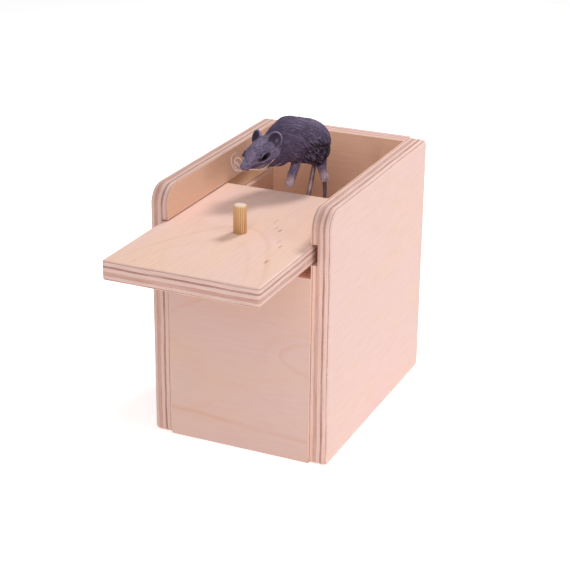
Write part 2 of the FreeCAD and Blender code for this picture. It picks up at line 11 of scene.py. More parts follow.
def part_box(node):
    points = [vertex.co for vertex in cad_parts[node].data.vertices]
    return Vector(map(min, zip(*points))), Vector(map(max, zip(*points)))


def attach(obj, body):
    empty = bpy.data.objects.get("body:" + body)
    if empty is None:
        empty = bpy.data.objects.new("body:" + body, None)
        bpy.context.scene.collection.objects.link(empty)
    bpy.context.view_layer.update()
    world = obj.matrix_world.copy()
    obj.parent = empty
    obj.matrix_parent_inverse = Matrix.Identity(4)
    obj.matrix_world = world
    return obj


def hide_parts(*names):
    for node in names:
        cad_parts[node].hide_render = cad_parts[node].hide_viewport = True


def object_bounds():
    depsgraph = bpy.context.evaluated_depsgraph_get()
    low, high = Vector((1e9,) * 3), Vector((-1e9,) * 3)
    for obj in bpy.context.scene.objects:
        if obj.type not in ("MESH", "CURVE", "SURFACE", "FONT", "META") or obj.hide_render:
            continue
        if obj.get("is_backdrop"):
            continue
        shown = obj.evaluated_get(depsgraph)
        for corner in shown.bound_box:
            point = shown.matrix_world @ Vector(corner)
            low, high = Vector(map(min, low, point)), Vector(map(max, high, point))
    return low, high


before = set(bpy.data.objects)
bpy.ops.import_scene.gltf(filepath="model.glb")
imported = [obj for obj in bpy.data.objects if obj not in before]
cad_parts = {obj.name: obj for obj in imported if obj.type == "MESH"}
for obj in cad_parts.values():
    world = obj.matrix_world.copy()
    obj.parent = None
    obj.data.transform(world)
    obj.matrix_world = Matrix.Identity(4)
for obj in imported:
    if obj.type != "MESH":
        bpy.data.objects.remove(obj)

# Looks of the surprise mouse box: bare birch plywood, a dowel knob, the metal and plastic of the drive,
# and a moulded rubber mouse on a bent wire. Metres, unless a name or a comment says millimetres.

bl_info = {
    "name": "Surprise Mouse Box",
    "version": (1, 0, 0),
    "blender": (4, 5, 0),
    "location": "3D View > Sidebar > Mouse Box",
    "description": "Finishes the plywood box, its drive and its rubber mouse",
    "category": "Add Mesh",
}

MM = 0.001
AXES = {"x": 0, "y": 1, "z": 2}


def linear(red, green, blue):
    """Linear colour of a display colour given as 0 to 255."""
    def channel(value):
        share = value / 255
        return share / 12.92 if share <= 0.04045 else ((share + 0.055) / 1.055) ** 2.4
    return (channel(red), channel(green), channel(blue))


# Settings

class PlywoodSettings(bpy.types.PropertyGroup):
    """Bare birch plywood"""
    veneer_colour: FloatVectorProperty(
        name="Veneer", description="Colour of the face veneer", subtype="COLOR", size=3,
        min=0.0, max=1.0, default=linear(232, 196, 172))
    blush_colour: FloatVectorProperty(
        name="Blush", description="Colour of the pinker parts of the outer faces", subtype="COLOR",
        size=3, min=0.0, max=1.0, default=linear(230, 196, 189))
    # The inner faces are the veneer painted lighter and redder, as the light that fills the box.
    inner_colour: FloatVectorProperty(
        name="Inner faces", description="Colour of the faces inside the box", subtype="COLOR", size=3,
        min=0.0, max=1.0, default=linear(244, 199, 172))
    figure_colour: FloatVectorProperty(
        name="Figure", description="Colour of the darker growth lines in the veneer", subtype="COLOR",
        size=3, min=0.0, max=1.0, default=linear(210, 156, 128))
    light_ply_colour: FloatVectorProperty(
        name="Light ply", description="Colour of a ply whose grain runs along the edge", subtype="COLOR",
        size=3, min=0.0, max=1.0, default=linear(238, 202, 190))
    dark_ply_colour: FloatVectorProperty(
        name="Dark ply", description="Colour of a joint between plies", subtype="COLOR", size=3,
        min=0.0, max=1.0, default=linear(176, 124, 112))
    core_colour: FloatVectorProperty(
        name="Core", description="Colour of the middle ply", subtype="COLOR", size=3,
        min=0.0, max=1.0, default=linear(208, 158, 142))
    easing: FloatProperty(
        name="Eased edge", description="Width of the sanded edges", subtype="DISTANCE", unit="LENGTH",
        default=0.35 * MM, min=0.05 * MM, max=1.0 * MM)


class MouseSettings(bpy.types.PropertyGroup):
    """Moulded rubber mouse"""
    coat_colour: FloatVectorProperty(
        name="Coat", description="Colour of the raised fur", subtype="COLOR", size=3,
        min=0.0, max=1.0, default=linear(84, 70, 98))
    # Colour of the painted shade between the locks and in the hollows, also used for the dark mottling of
    # the coat.
    groove_shade_colour: FloatVectorProperty(
        name="Grooves", description="Colour between the locks of fur", subtype="COLOR", size=3,
        min=0.0, max=1.0, default=linear(26, 15, 20))
    paw_colour: FloatVectorProperty(
        name="Paws", description="Colour of the bare paws and the jaw", subtype="COLOR", size=3,
        min=0.0, max=1.0, default=linear(202, 178, 184))
    fur_depth: FloatProperty(
        name="Fur depth", description="Depth of the carved fur where it is strongest",
        subtype="DISTANCE", unit="LENGTH", default=0.72 * MM, min=0.0, max=1.0 * MM)
    lock_width: FloatProperty(
        name="Lock width", description="Width of one carved lock of fur", subtype="DISTANCE",
        unit="LENGTH", default=0.58 * MM, min=0.3 * MM, max=2.0 * MM)
    skin_step: FloatProperty(
        name="Skin step", description="Size of the skin's faces", subtype="DISTANCE", unit="LENGTH",
        default=0.26 * MM, min=0.15 * MM, max=1.0 * MM)


class StudioSettings(bpy.types.PropertyGroup):
    """Floor, lights and camera"""
    floor_colour: FloatVectorProperty(
        name="Floor", description="Colour of the floor", subtype="COLOR", size=3,
        min=0.0, max=1.0, default=(0.90, 0.90, 0.90))
    floor_glow: FloatProperty(
        name="Floor glow", description="Light that comes up through the pale floor",
        default=0.46, min=0.0, max=2.0)
    surroundings: FloatProperty(
        name="Surroundings", description="Strength of the even light from all round",
        default=0.42, min=0.0, max=5.0)
    key_power: FloatProperty(
        name="Key light", description="Power of the large light on the right", subtype="POWER",
        unit="POWER", default=1.22, min=0.0, max=100.0)
    top_power: FloatProperty(
        name="Top light", description="Power of the light above and behind", subtype="POWER",
        unit="POWER", default=3.9, min=0.0, max=100.0)
    front_power: FloatProperty(
        name="Front light", description="Power of the broad light above and in front", subtype="POWER",
        unit="POWER", default=2.7, min=0.0, max=100.0)
    azimuth: FloatProperty(
        name="Azimuth", description="Turn of the camera round the box", subtype="ANGLE", unit="ROTATION",
        default=math.radians(24.17))
    elevation: FloatProperty(
        name="Elevation", description="Height of the camera above the horizon", subtype="ANGLE",
        unit="ROTATION", default=math.radians(22.30))
    roll: FloatProperty(
        name="Roll", description="Tilt of the picture", subtype="ANGLE", unit="ROTATION",
        default=math.radians(0.51))
    focal_length: FloatProperty(
        name="Lens", description="Focal length on a 36 mm sensor, in millimetres",
        default=99.06, min=10.0, max=500.0)


# Node trees

SHADER_INPUTS = {
    "metallic": "Metallic", "specular": "Specular IOR Level", "transmission": "Transmission Weight",
    "glow_colour": "Emission Color", "glow": "Emission Strength",
}
WHITE = (1.0, 1.0, 1.0, 1.0)


class Finish:
    """One material's node tree. Most methods add a node and return its output."""

    def __init__(self, name):
        self.material = bpy.data.materials.new(name)
        self.material.use_nodes = True
        self.tree = self.material.node_tree
        self.surface = self.tree.nodes["Principled BSDF"]

    def node(self, kind, inputs, output=0, **settings):
        made = self.tree.nodes.new(kind)
        for key, value in settings.items():
            setattr(made, key, value)
        for key, value in inputs.items():
            self.feed(made.inputs[key], value)
        return made.outputs[output]

    def feed(self, socket, value):
        """Links an output to the socket, or sets a plain value on it."""
        if isinstance(value, bpy.types.NodeSocket):
            self.tree.links.new(value, socket)
        else:
            socket.default_value = value

    def place_mm(self):
        """Place on the piece, in millimetres."""
        place = self.node("ShaderNodeTexCoord", {}, "Object")
        return self.node("ShaderNodeVectorMath", {0: place, "Scale": 1 / MM}, operation="SCALE")

    def scaled_place(self, axis, along, across):
        """Place in millimetres, scaled by one factor along an axis and by another across it."""
        factors = [across, across, across]
        factors[AXES[axis]] = along
        return self.node("ShaderNodeVectorMath", {0: self.place_mm(), 1: factors}, operation="MULTIPLY")

    def facing(self, axis):
        """How squarely the surface faces along an axis, from 0 to 1."""
        normal = self.separate(self.node("ShaderNodeTexCoord", {}, "Normal"))
        return self.maths("ABSOLUTE", normal[AXES[axis]])

    def attribute(self, name):
        """A share that the piece keeps for each of its points."""
        return self.node("ShaderNodeAttribute", {}, "Fac", attribute_name=name)

    def separate(self, vector):
        made = self.tree.nodes.new("ShaderNodeSeparateXYZ")
        self.feed(made.inputs[0], vector)
        return made.outputs

    def combine(self, x, y, z):
        return self.node("ShaderNodeCombineXYZ", {0: x, 1: y, 2: z})

    def maths(self, operation, first, second=0.0, clamp=False):
        return self.node("ShaderNodeMath", {0: first, 1: second}, operation=operation, use_clamp=clamp)

    def add(self, total, *terms):
        for term in terms:
            total = self.maths("ADD", total, term)
        return total

    def minus(self, first, second):
        return self.maths("SUBTRACT", first, second)

    def times(self, product, *factors):
        for factor in factors:
            product = self.maths("MULTIPLY", product, factor)
        return product

    def over(self, first, second, clamp=False):
        return self.maths("DIVIDE", first, second, clamp)

    def noise(self, vector, scale=1.0, detail=2.0, roughness=0.5, distortion=0.0):
        return self.node("ShaderNodeTexNoise", {
            "Vector": vector, "Scale": scale, "Detail": detail, "Roughness": roughness,
            "Distortion": distortion})

    def swing(self, vector, reach, **settings):
        """Noise that goes evenly to both sides of nought."""
        return self.times(self.minus(self.noise(vector, **settings), 0.5), reach)

    def steps(self, value, low, high, low_out=0.0, high_out=1.0):
        """Value from low to high, smoothly mapped."""
        return self.node("ShaderNodeMapRange", {
            "Value": value, "From Min": low, "From Max": high, "To Min": low_out, "To Max": high_out},
            interpolation_type="SMOOTHSTEP")

    def mix(self, share, first, second):
        """First colour where the share is 0, second where it is 1."""
        made = self.tree.nodes.new("ShaderNodeMix")
        made.data_type = "RGBA"
        self.feed(made.inputs[0], share)
        colours = [socket for socket in made.inputs if socket.type == "RGBA"]
        for socket, value in zip(colours, (first, second)):
            self.feed(socket, value if isinstance(value, bpy.types.NodeSocket) else (*value[:3], 1.0))
        return next(socket for socket in made.outputs if socket.type == "RGBA")

    def ramp(self, value, stops):
        """Colour read off a ramp, whose stops are pairs of place and colour."""
        made = self.tree.nodes.new("ShaderNodeValToRGB")
        self.feed(made.inputs[0], value)
        elements = made.color_ramp.elements
        while len(elements) < len(stops):
            elements.new(0.5)
        for element, (place, colour) in zip(elements, stops):
            element.position = place
            element.color = (*colour, 1.0)
        return made.outputs[0]

    def bump(self, height, distance_mm, strength):
        normal = self.node("ShaderNodeBump", {
            "Height": height, "Distance": distance_mm * MM, "Strength": strength})
        self.feed(self.surface.inputs["Normal"], normal)

    def surface_is(self, colour, roughness, **others):
        """Sets the shader's colour, roughness and other inputs, by plain numbers where they are even."""
        if not isinstance(colour, bpy.types.NodeSocket):
            colour = (*colour[:3], 1.0)
        self.feed(self.surface.inputs["Base Color"], colour)
        self.feed(self.surface.inputs["Roughness"], roughness)
        for key, value in others.items():
            self.feed(self.surface.inputs[SHADER_INPUTS[key]], value)


# Pieces

def dress(node, material):
    """Gives a kept node its finish, in every material slot."""
    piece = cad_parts[node]
    if not piece.data.materials:
        piece.data.materials.append(material)
    for slot in piece.material_slots:
        slot.material = material
    return piece


def new_piece(name, points_mm, faces, material, body, slot, replaced):
    """A smooth piece made of faces, which rides a body in place of the nodes that it replaces."""
    mesh = bpy.data.meshes.new(name)
    mesh.from_pydata((np.asarray(points_mm) * MM).tolist(), [], [list(face) for face in faces])
    mesh.polygons.foreach_set("use_smooth", [True] * len(mesh.polygons))
    mesh.materials.append(material)
    mesh.update()
    piece = bpy.data.objects.new(name, mesh)
    bpy.context.scene.collection.objects.link(piece)
    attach(piece, body)
    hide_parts(*replaced)
    return piece


def mark(piece, name, values):
    """Keeps a share for each point of the piece, for its finish."""
    layer = piece.data.attributes.new(name, "FLOAT", "POINT")
    layer.data.foreach_set("value", np.asarray(values, dtype=np.float32))


def loft_faces(rings, around):
    """Faces between rings of points, and over the first and the last ring."""
    faces = []
    for first in range(0, (rings - 1) * around, around):
        for n in range(around):
            near, far = first + n, first + (n + 1) % around
            faces.append((near, far, far + around, near + around))
    faces.append(tuple(reversed(range(around))))
    faces.append(tuple(range((rings - 1) * around, rings * around)))
    return faces


def box_mm(*nodes, margin=0.0):
    """Lowest and highest corners of the nodes together, in millimetres, with a margin all round."""
    low = np.min([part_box(node)[0] for node in nodes], axis=0) / MM
    high = np.max([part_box(node)[1] for node in nodes], axis=0) / MM
    return low - margin, high + margin


# Plywood. The plies are listed from one face to the other, in millimetres.

PLY_LAYUP_MM = (("veneer", 0.45), ("dark", 0.40), ("light", 1.35), ("core", 1.85), ("light", 1.60),
                ("dark", 0.95), ("light", 1.60), ("dark", 0.30), ("veneer", 0.50))
VENEER_MM = PLY_LAYUP_MM[0][1]
GLUE_LINE_MM = 0.08
PLY_WANDER_MM, PLY_FRAY_MM = 0.9, 0.42

# How far along and across the sheet the next seed's board is cut.
SEED_ALONG_MM, SEED_ACROSS_MM = 137.0, 61.0

BLUSH_SPREAD = 0.28
RINGS = 7.0
FADED_SHARE, STREAK_SHARE, SPECKLE_SHARE = 0.40, 0.34, 0.42
FIBRE_SHARE, PORE_SHARE, SPECK_SHARE = 0.16, 0.10, 0.35
LINE_RISE_MM, LINE_FADE_MM, LINE_WOBBLE_MM = (-0.9, 0.15), (2.8, 0.15), 4.0
END_GRAIN_COLOUR = linear(240, 212, 206)
# Colour of the floors of the grooves: a single ply, painted lighter as light that reaches into them.
LIT_GROOVE_FLOOR_COLOUR = linear(252, 216, 178)
SPECK_COLOUR = linear(176, 122, 96)
FLECK_COLOUR = linear(186, 112, 64)

# A mineral fleck, in millimetres.
Fleck = namedtuple("Fleck", "along across length width strength")
LID_FLECKS = (
    Fleck(-86.6, 25.5, 3.2, 0.9, 0.80),
    Fleck(-68.0, 23.5, 3.8, 0.6, 0.60),
    Fleck(-62.5, 20.4, 3.6, 0.5, 0.50),
    Fleck(-50.0, 15.2, 2.6, 0.9, 0.75),
    Fleck(-47.6, 12.4, 3.4, 0.5, 0.50),
    Fleck(-39.8, 8.6, 4.0, 0.6, 0.50),
)

# A growth line lies where ahead * along + level * across + bend * across squared + offset is nought, in
# millimetres.
GrowthLine = namedtuple("GrowthLine", "ahead level bend offset strength")
FRONT_LINES = (
    GrowthLine(0.048, 1.0, 0.0, -11.75, 0.42),
    GrowthLine(-0.5, 1.0, 0.0, -80.0, 0.30),
    GrowthLine(1.0, 20.4, -0.2, -540.5, 0.36),
)
LID_LINES = (
    GrowthLine(1.0, 0.0, 0.051, 53.3, 0.20),
    GrowthLine(1.0, 0.0, 0.060, 70.0, 0.10),
)

# A board's directions of thickness and grain, the side that is its outer face, its tones of painted light
# and shade for its outer face, cut edges and inner face, and how strong its blush and its figure are.
Board = namedtuple("Board", "node thickness grain outer_side seed blush face_tone edge_tone inner_tone "
                            "figure lines flecks", defaults=((), ()))
BOARDS = (
    Board("left_side_panel", "x", "y", outer_side=-1, seed=1.0, blush=0.85,
          face_tone=0.95, edge_tone=0.84, inner_tone=0.82, figure=0.0),
    Board("right_side_panel", "x", "y", outer_side=1, seed=2.0, blush=0.90,
          face_tone=0.95, edge_tone=0.90, inner_tone=1.0, figure=0.0),
    Board("front_panel", "y", "x", outer_side=-1, seed=3.0, blush=0.75,
          face_tone=0.87, edge_tone=0.93, inner_tone=1.0, figure=0.08, lines=FRONT_LINES),
    Board("back_panel", "y", "x", outer_side=1, seed=4.0, blush=0.50,
          face_tone=0.95, edge_tone=0.92, inner_tone=1.10, figure=0.30),
    Board("bottom_panel", "z", "y", outer_side=-1, seed=5.0, blush=0.50,
          face_tone=0.95, edge_tone=0.92, inner_tone=1.0, figure=0.20),
    Board("lid_panel", "z", "y", outer_side=1, seed=6.0, blush=0.52,
          face_tone=1.05, edge_tone=0.86, inner_tone=1.0, figure=0.06, lines=LID_LINES,
          flecks=LID_FLECKS),
)


# Colour scaled by a board's tone of painted light and shade.
def shaded(colour, tone):
    return tuple(channel * tone for channel in colour)


def ply_stops(colours):
    """Stops of a ramp through the plies, with a narrow glue line between neighbours."""
    total = sum(width for _, width in PLY_LAYUP_MM)
    stops = []
    edge = 0.0
    for name, width in PLY_LAYUP_MM:
        stops.append(((edge + GLUE_LINE_MM) / total, colours[name]))
        edge += width
        stops.append(((edge - GLUE_LINE_MM) / total, colours[name]))
    return stops


class PlywoodFinish(Finish):
    """Solid plywood of one board: the face veneer, and the plies wherever they are cut."""

    def __init__(self, board):
        super().__init__("birch_plywood_" + board.node)
        self.board = board
        self.look = bpy.context.scene.mouse_box_plywood
        thickness = AXES[board.thickness]
        crosswise = next(axis for axis in AXES if axis not in (board.thickness, board.grain))
        low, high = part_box(board.node)
        self.thickness_mm = (high - low)[thickness] / MM
        self.place = self.place_mm()
        parts = self.separate(self.place)
        self.own_along, self.own_across = parts[AXES[board.grain]], parts[AXES[crosswise]]
        self.along = self.add(self.own_along, SEED_ALONG_MM * board.seed)
        self.across = self.add(self.own_across, SEED_ACROSS_MM * board.seed)
        self.from_face = self.minus(parts[thickness], low[thickness] / MM)
        self.fibres = self.grain(0.05, 0.7, detail=4.0, roughness=0.65)
        self.pores = self.steps(self.grain(0.30, 4.0), 0.60, 0.72)
        self.speckle = self.noise(self.place, scale=3.2, detail=3.0, roughness=0.7)

    def grain(self, along_scale, across_scale, third=None, **settings):
        """Noise that is drawn out along the grain."""
        third = self.board.seed if third is None else third
        return self.noise(self.combine(self.times(self.along, along_scale),
                                       self.times(self.across, across_scale), third), **settings)

    def cut_plies(self):
        """Colour of cut plies. Their joints wander, fray and fade, and the end grain is speckled."""
        look = self.look
        # The cut plies carry the board's painted light and shade for its edges.
        light, dark, core, speckles = (shaded(colour, self.board.edge_tone) for colour in (
            look.light_ply_colour, look.dark_ply_colour, look.core_colour, END_GRAIN_COLOUR))
        wander = self.swing(self.combine(self.along, self.across, self.from_face), PLY_WANDER_MM,
                            scale=0.045, detail=3.0)
        fray = self.swing(self.place, PLY_FRAY_MM, scale=1.1, detail=3.0, roughness=0.6)
        depth = self.add(self.from_face, wander, fray)
        stops = ply_stops({"veneer": light, "dark": dark, "light": light, "core": core})
        plies = self.ramp(self.over(depth, self.thickness_mm, clamp=True), stops)
        fade = self.grain(0.06, 0.06, self.from_face, detail=3.0, roughness=0.6)
        plies = self.mix(self.steps(fade, 0.35, 0.65, FADED_SHARE, 0.0), plies, light)
        streak = self.grain(0.10, 0.10, self.times(depth, 3.4), detail=4.0, roughness=0.65)
        plies = self.mix(self.steps(streak, 0.42, 0.72, 0.0, STREAK_SHARE), plies, dark)
        speckled = self.steps(self.speckle, 0.48, 0.74, 0.0, SPECKLE_SHARE)
        plies = self.mix(speckled, plies, speckles)
        # The floors of the grooves, cut along the plies, show a single ply, painted lighter than the faces
        # as light that reaches into them.
        flat = self.steps(self.facing(self.board.thickness), 0.80, 0.95)
        return self.mix(flat, plies, LIT_GROOVE_FLOOR_COLOUR)

    def line_share(self, line, wobble):
        """Share of one growth line, which is sharp on one side and fades on the other."""
        slope = self.add(self.times(self.own_across, 2 * line.bend), line.level)
        steepness = self.maths("SQRT", self.add(self.times(slope, slope), line.ahead ** 2))
        value = self.add(self.times(self.add(slope, line.level), self.times(self.own_across, 0.5)),
                         self.times(self.own_along, line.ahead), line.offset)
        gap = self.add(self.over(value, steepness), wobble)
        return self.times(self.steps(gap, *LINE_RISE_MM), self.steps(gap, *LINE_FADE_MM), line.strength)

    def fleck_share(self, fleck):
        """Share of one ragged mineral fleck."""
        reach = self.combine(self.over(self.minus(self.own_along, fleck.along), fleck.length),
                             self.over(self.minus(self.own_across, fleck.across), fleck.width), 0.0)
        size = self.node("ShaderNodeVectorMath", {0: reach}, "Value", operation="LENGTH")
        ragged = self.times(self.noise(self.place, scale=1.3, detail=3.0, roughness=0.7), 1.1)
        return self.steps(self.add(size, ragged), 1.55, 0.65, 0.0, fleck.strength)

    def face_veneer(self):
        """Colour of the faces: soft clouds, growth lines of the rotary cut, pores, specks and flecks."""
        board, look = self.board, self.look
        cloud = self.grain(0.012, 0.040, detail=3.0)
        pink = self.steps(cloud, 0.30, 0.70, board.blush - BLUSH_SPREAD, board.blush + BLUSH_SPREAD)
        # The outer and inner faces carry the board's painted light and shade.
        outer = self.mix(pink, shaded(look.veneer_colour, board.face_tone),
                         shaded(look.blush_colour, board.face_tone))
        middle = self.thickness_mm / 2
        on_outer = self.steps(self.from_face, middle - board.outer_side, middle + board.outer_side)
        face = self.mix(on_outer, shaded(look.inner_colour, board.inner_tone), outer)

        growth = self.grain(0.0065, 0.021, board.seed + 7.3, detail=1.5, roughness=0.4)
        ring = self.maths("FRACT", self.times(growth, RINGS))
        ring_line = self.times(self.steps(ring, 0.80, 0.975), self.steps(ring, 1.0, 0.985))
        broken = self.steps(self.grain(0.03, 0.05, board.seed + 3.1), 0.35, 0.60)
        face = self.mix(self.times(ring_line, broken, board.figure), face, look.figure_colour)
        unbroken = self.add(self.times(broken, 0.5), 0.5)
        wobble = self.swing(self.place, LINE_WOBBLE_MM, scale=0.035)
        for line in board.lines:
            share = self.times(self.line_share(line, wobble), unbroken)
            face = self.mix(share, face, look.figure_colour)

        fibrous = self.steps(self.fibres, 0.38, 0.72, 0.0, FIBRE_SHARE)
        face = self.mix(fibrous, face, look.figure_colour)
        face = self.mix(self.times(self.pores, PORE_SHARE), face, look.figure_colour)
        speck = self.grain(0.8, 1.6, board.seed + 1.7, detail=1.0, roughness=0.4)
        face = self.mix(self.steps(speck, 0.76, 0.82, 0.0, SPECK_SHARE), face, SPECK_COLOUR)
        for fleck in board.flecks:
            face = self.mix(self.fleck_share(fleck), face, FLECK_COLOUR)
        return face

    def laid_up(self):
        """The board's material. The veneer is the outermost ply on both faces."""
        inward = self.maths("MINIMUM", self.from_face, self.minus(self.thickness_mm, self.from_face))
        inner = self.steps(inward, VENEER_MM * 0.5, VENEER_MM)
        relief = self.add(self.times(self.fibres, 0.5), self.times(self.pores, -0.5),
                          self.times(self.speckle, inner, 0.6))
        self.bump(relief, 0.05, 0.6)
        self.surface_is(self.mix(inner, self.face_veneer(), self.cut_plies()),
                        self.steps(self.fibres, 0.2, 0.8, 0.56, 0.70), specular=0.25)
        return self.material


WELD_GAP = 0.002 * MM
SHARP_ANGLE = math.radians(50)


def ease_edges(piece, width):
    """Small sanded round along a node's sharp edges."""
    weld = piece.modifiers.new("joined_faces", "WELD")
    weld.merge_threshold = WELD_GAP
    bevel = piece.modifiers.new("eased_edges", "BEVEL")
    bevel.width = width
    bevel.segments = 2
    bevel.limit_method = "ANGLE"
    bevel.angle_limit = SHARP_ANGLE
    bevel.use_clamp_overlap = True
    bevel.harden_normals = True


class MOUSEBOX_OT_panels(bpy.types.Operator):
    """Finish the box's panels and the lid in birch plywood"""
    bl_idname = "mousebox.panels"
    bl_label = "Plywood Panels"

    def execute(self, context):
        for board in BOARDS:
            piece = dress(board.node, PlywoodFinish(board).laid_up())
            ease_edges(piece, context.scene.mouse_box_plywood.easing)
        return {"FINISHED"}


# Dowels, knob and stop pins

PANEL_DOWELS = ("front_panel_dowels", "back_panel_dowels", "bottom_panel_dowels")
FLUTES, FLUTE_DEPTH_MM, POINTS_PER_FLUTE = 22, 0.16, 8

# Rings of the knob's rounded top, as drop below the top, inset, and share of the flutes' depth.
KNOB_TOP_MM = ((1.4, 0.0, 1.0), (0.9, 0.02, 0.8), (0.55, 0.10, 0.4), (0.28, 0.26, 0.1),
               (0.09, 0.55, 0.0), (0.0, 1.0, 0.0), (0.0, 1.8, 0.0), (0.0, 2.6, 0.0))


def dowel_wood(name, grain_axis):
    """Turned birch rod: brown lines along the grain on the side, painted shade in the flutes, pale end
    grain.
    """
    finish = Finish(name)
    grain = finish.noise(finish.scaled_place(grain_axis, along=0.05, across=1.7), detail=3.0,
                         roughness=0.6)
    lines = finish.steps(grain, 0.46, 0.62)
    side = finish.mix(finish.times(lines, 0.4), linear(242, 202, 148), linear(190, 138, 90))
    # The flutes are painted darker, as shade in their hollows.
    side = finish.mix(finish.times(finish.attribute("flute"), 0.95), side, linear(164, 108, 62))
    end = finish.mix(finish.steps(grain, 0.35, 0.7), linear(238, 216, 206), linear(222, 194, 180))
    on_end = finish.steps(finish.facing(grain_axis), 0.75, 0.95)
    pores = finish.noise(finish.place_mm(), scale=4.0, roughness=0.6)
    finish.bump(finish.add(lines, finish.times(pores, 0.6)), 0.06, 0.7)
    finish.surface_is(finish.mix(on_end, side, end), finish.steps(grain, 0.3, 0.7, 0.5, 0.64),
                      specular=0.35)
    return finish.material


def fluted_dowel(node):
    """Points, faces and flute shares of an upright dowel with pressed flutes and a rounded top."""
    low, high = (np.array(corner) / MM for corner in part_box(node))
    middle = (low + high) / 2
    radius = (high[0] - low[0]) / 2
    rings = ((high[2] - low[2], 0.0, 1.0), *KNOB_TOP_MM)
    around = FLUTES * POINTS_PER_FLUTE
    turn = 2 * math.pi * np.arange(around) / around
    dip = (0.5 - 0.5 * np.cos(turn * FLUTES)) ** 3
    points, shares = [], []
    for drop, inset, depth in rings:
        reach = radius - inset - FLUTE_DEPTH_MM * depth * dip
        points.append(np.stack([middle[0] + reach * np.cos(turn), middle[1] + reach * np.sin(turn),
                                np.full(around, high[2] - drop)], axis=-1))
        shares.append(dip * depth)
    return np.concatenate(points), loft_faces(len(rings), around), np.concatenate(shares)


class MOUSEBOX_OT_dowels(bpy.types.Operator):
    """Finish the knob, the stop pins and the panel dowels"""
    bl_idname = "mousebox.dowels"
    bl_label = "Knob and Dowels"

    def execute(self, context):
        upright = dowel_wood("birch_dowel_upright", "z")
        crosswise = dowel_wood("birch_dowel_crosswise", "x")
        dress("lid_stop_pins", upright)
        points, faces, flutes = fluted_dowel("lid_knob")
        knob = new_piece("fluted_knob", points, faces, upright, "lid", "birch_dowel", ("lid_knob",))
        mark(knob, "flute", flutes)
        for node in PANEL_DOWELS:
            dress(node, crosswise)
        return {"FINISHED"}


# Drive: axle, bushes, hub, wire, rack, pinion and screws

def turned_metal(name, colour, dull_colour, roughness, ring_axis):
    """Turned or drawn metal, with fine tool marks round its axis and light tarnish."""
    finish = Finish(name)
    marks = finish.noise(finish.scaled_place(ring_axis, along=9.0, across=0.4), detail=3.0,
                         roughness=0.6)
    tarnish = finish.noise(finish.place_mm(), scale=0.45, detail=4.0, roughness=0.6)
    finish.bump(marks, 0.012, 0.5)
    finish.surface_is(
        finish.mix(finish.steps(tarnish, 0.42, 0.72), colour, dull_colour),
        finish.steps(marks, 0.2, 0.8, roughness - 0.07, roughness + 0.09), metallic=1.0)
    return finish.material


def drawn_wire():
    """Drawn steel wire with a brown tint, and faint scratches along its run."""
    finish = Finish("drawn_steel")
    tarnish = finish.noise(finish.place_mm(), scale=0.22, detail=3.0)
    scratches = finish.noise(finish.scaled_place("z", along=0.2, across=3.0))
    finish.bump(scratches, 0.01, 0.4)
    finish.surface_is(
        finish.mix(finish.steps(tarnish, 0.35, 0.70), linear(176, 156, 160), linear(132, 106, 108)),
        finish.steps(scratches, 0.3, 0.7, 0.42, 0.56), metallic=0.65)
    return finish.material


def moulded_plastic(name, colour, shade):
    """Satin moulded plastic with faint flow marks and a fine grain."""
    finish = Finish(name)
    place = finish.place_mm()
    flow = finish.noise(place, scale=0.25, detail=3.0, roughness=0.55, distortion=0.8)
    grain = finish.noise(place, scale=6.0, roughness=0.6)
    finish.bump(grain, 0.02, 0.5)
    finish.surface_is(
        finish.mix(finish.steps(flow, 0.40, 0.72), colour, shade),
        finish.steps(grain, 0.3, 0.7, 0.36, 0.48), specular=0.5)
    return finish.material


def screw_metal(name, colour, worn_colour, metallic, roughness):
    """Plated or blackened screw, worn and speckled."""
    finish = Finish(name)
    speckle = finish.noise(finish.place_mm(), scale=2.2, detail=4.0, roughness=0.7)
    finish.bump(speckle, 0.015, 0.5)
    finish.surface_is(
        finish.mix(finish.steps(speckle, 0.52, 0.74), colour, worn_colour),
        finish.steps(speckle, 0.3, 0.7, roughness, roughness + 0.15), metallic=metallic)
    return finish.material


class MOUSEBOX_OT_drive(bpy.types.Operator):
    """Finish the axle, bushes, hub, wire, rack, pinion and screws"""
    bl_idname = "mousebox.drive"
    bl_label = "Rack, Pinion and Arm"

    def execute(self, context):
        steel = drawn_wire()
        axle = turned_metal("ground_steel", linear(196, 194, 192), linear(150, 142, 136), 0.24, "x")
        brass = turned_metal("turned_brass", linear(206, 172, 98), linear(150, 112, 60), 0.28, "x")
        nylon = moulded_plastic("natural_nylon", linear(226, 222, 210), linear(206, 198, 178))
        zinc = screw_metal("zinc_plate", linear(190, 190, 186), linear(132, 130, 124), 1.0, 0.30)
        black = screw_metal("black_oxide", linear(40, 40, 43), linear(96, 92, 90), 0.9, 0.38)
        finishes = {
            "arm_wire": steel, "arm_axle": axle, "axle_bush_left": brass, "axle_bush_right": brass,
            "arm_hub": brass, "drive_rack": nylon, "drive_pinion": nylon, "rack_screws": zinc,
            "pinion_set_screw": black, "hub_set_screw": black,
        }
        for node, material in finishes.items():
            dress(node, material)
        return {"FINISHED"}


# Smooth forms, as distances in millimetres that are below nought inside the form

def ellipsoid(points, centre, axes, radii):
    """Distance to an ellipsoid, close to true near its surface."""
    scaled = (points - centre) @ axes.T / radii
    size = np.linalg.norm(scaled, axis=-1)
    slope = np.linalg.norm(scaled / radii, axis=-1)
    return size * (size - 1.0) / np.maximum(slope, 1e-6)


def limb(points, start, end, start_radius, end_radius):
    """Distance to a rounded, tapered bar."""
    run = end - start
    share = np.clip((points - start) @ run / (run @ run), 0.0, 1.0)
    reach = points - start - share[..., None] * run
    return np.linalg.norm(reach, axis=-1) - (start_radius + (end_radius - start_radius) * share)


def join(first, second, soft):
    """Smooth union."""
    share = np.clip(0.5 + 0.5 * (second - first) / soft, 0.0, 1.0)
    return second * (1 - share) + first * share - soft * share * (1 - share)


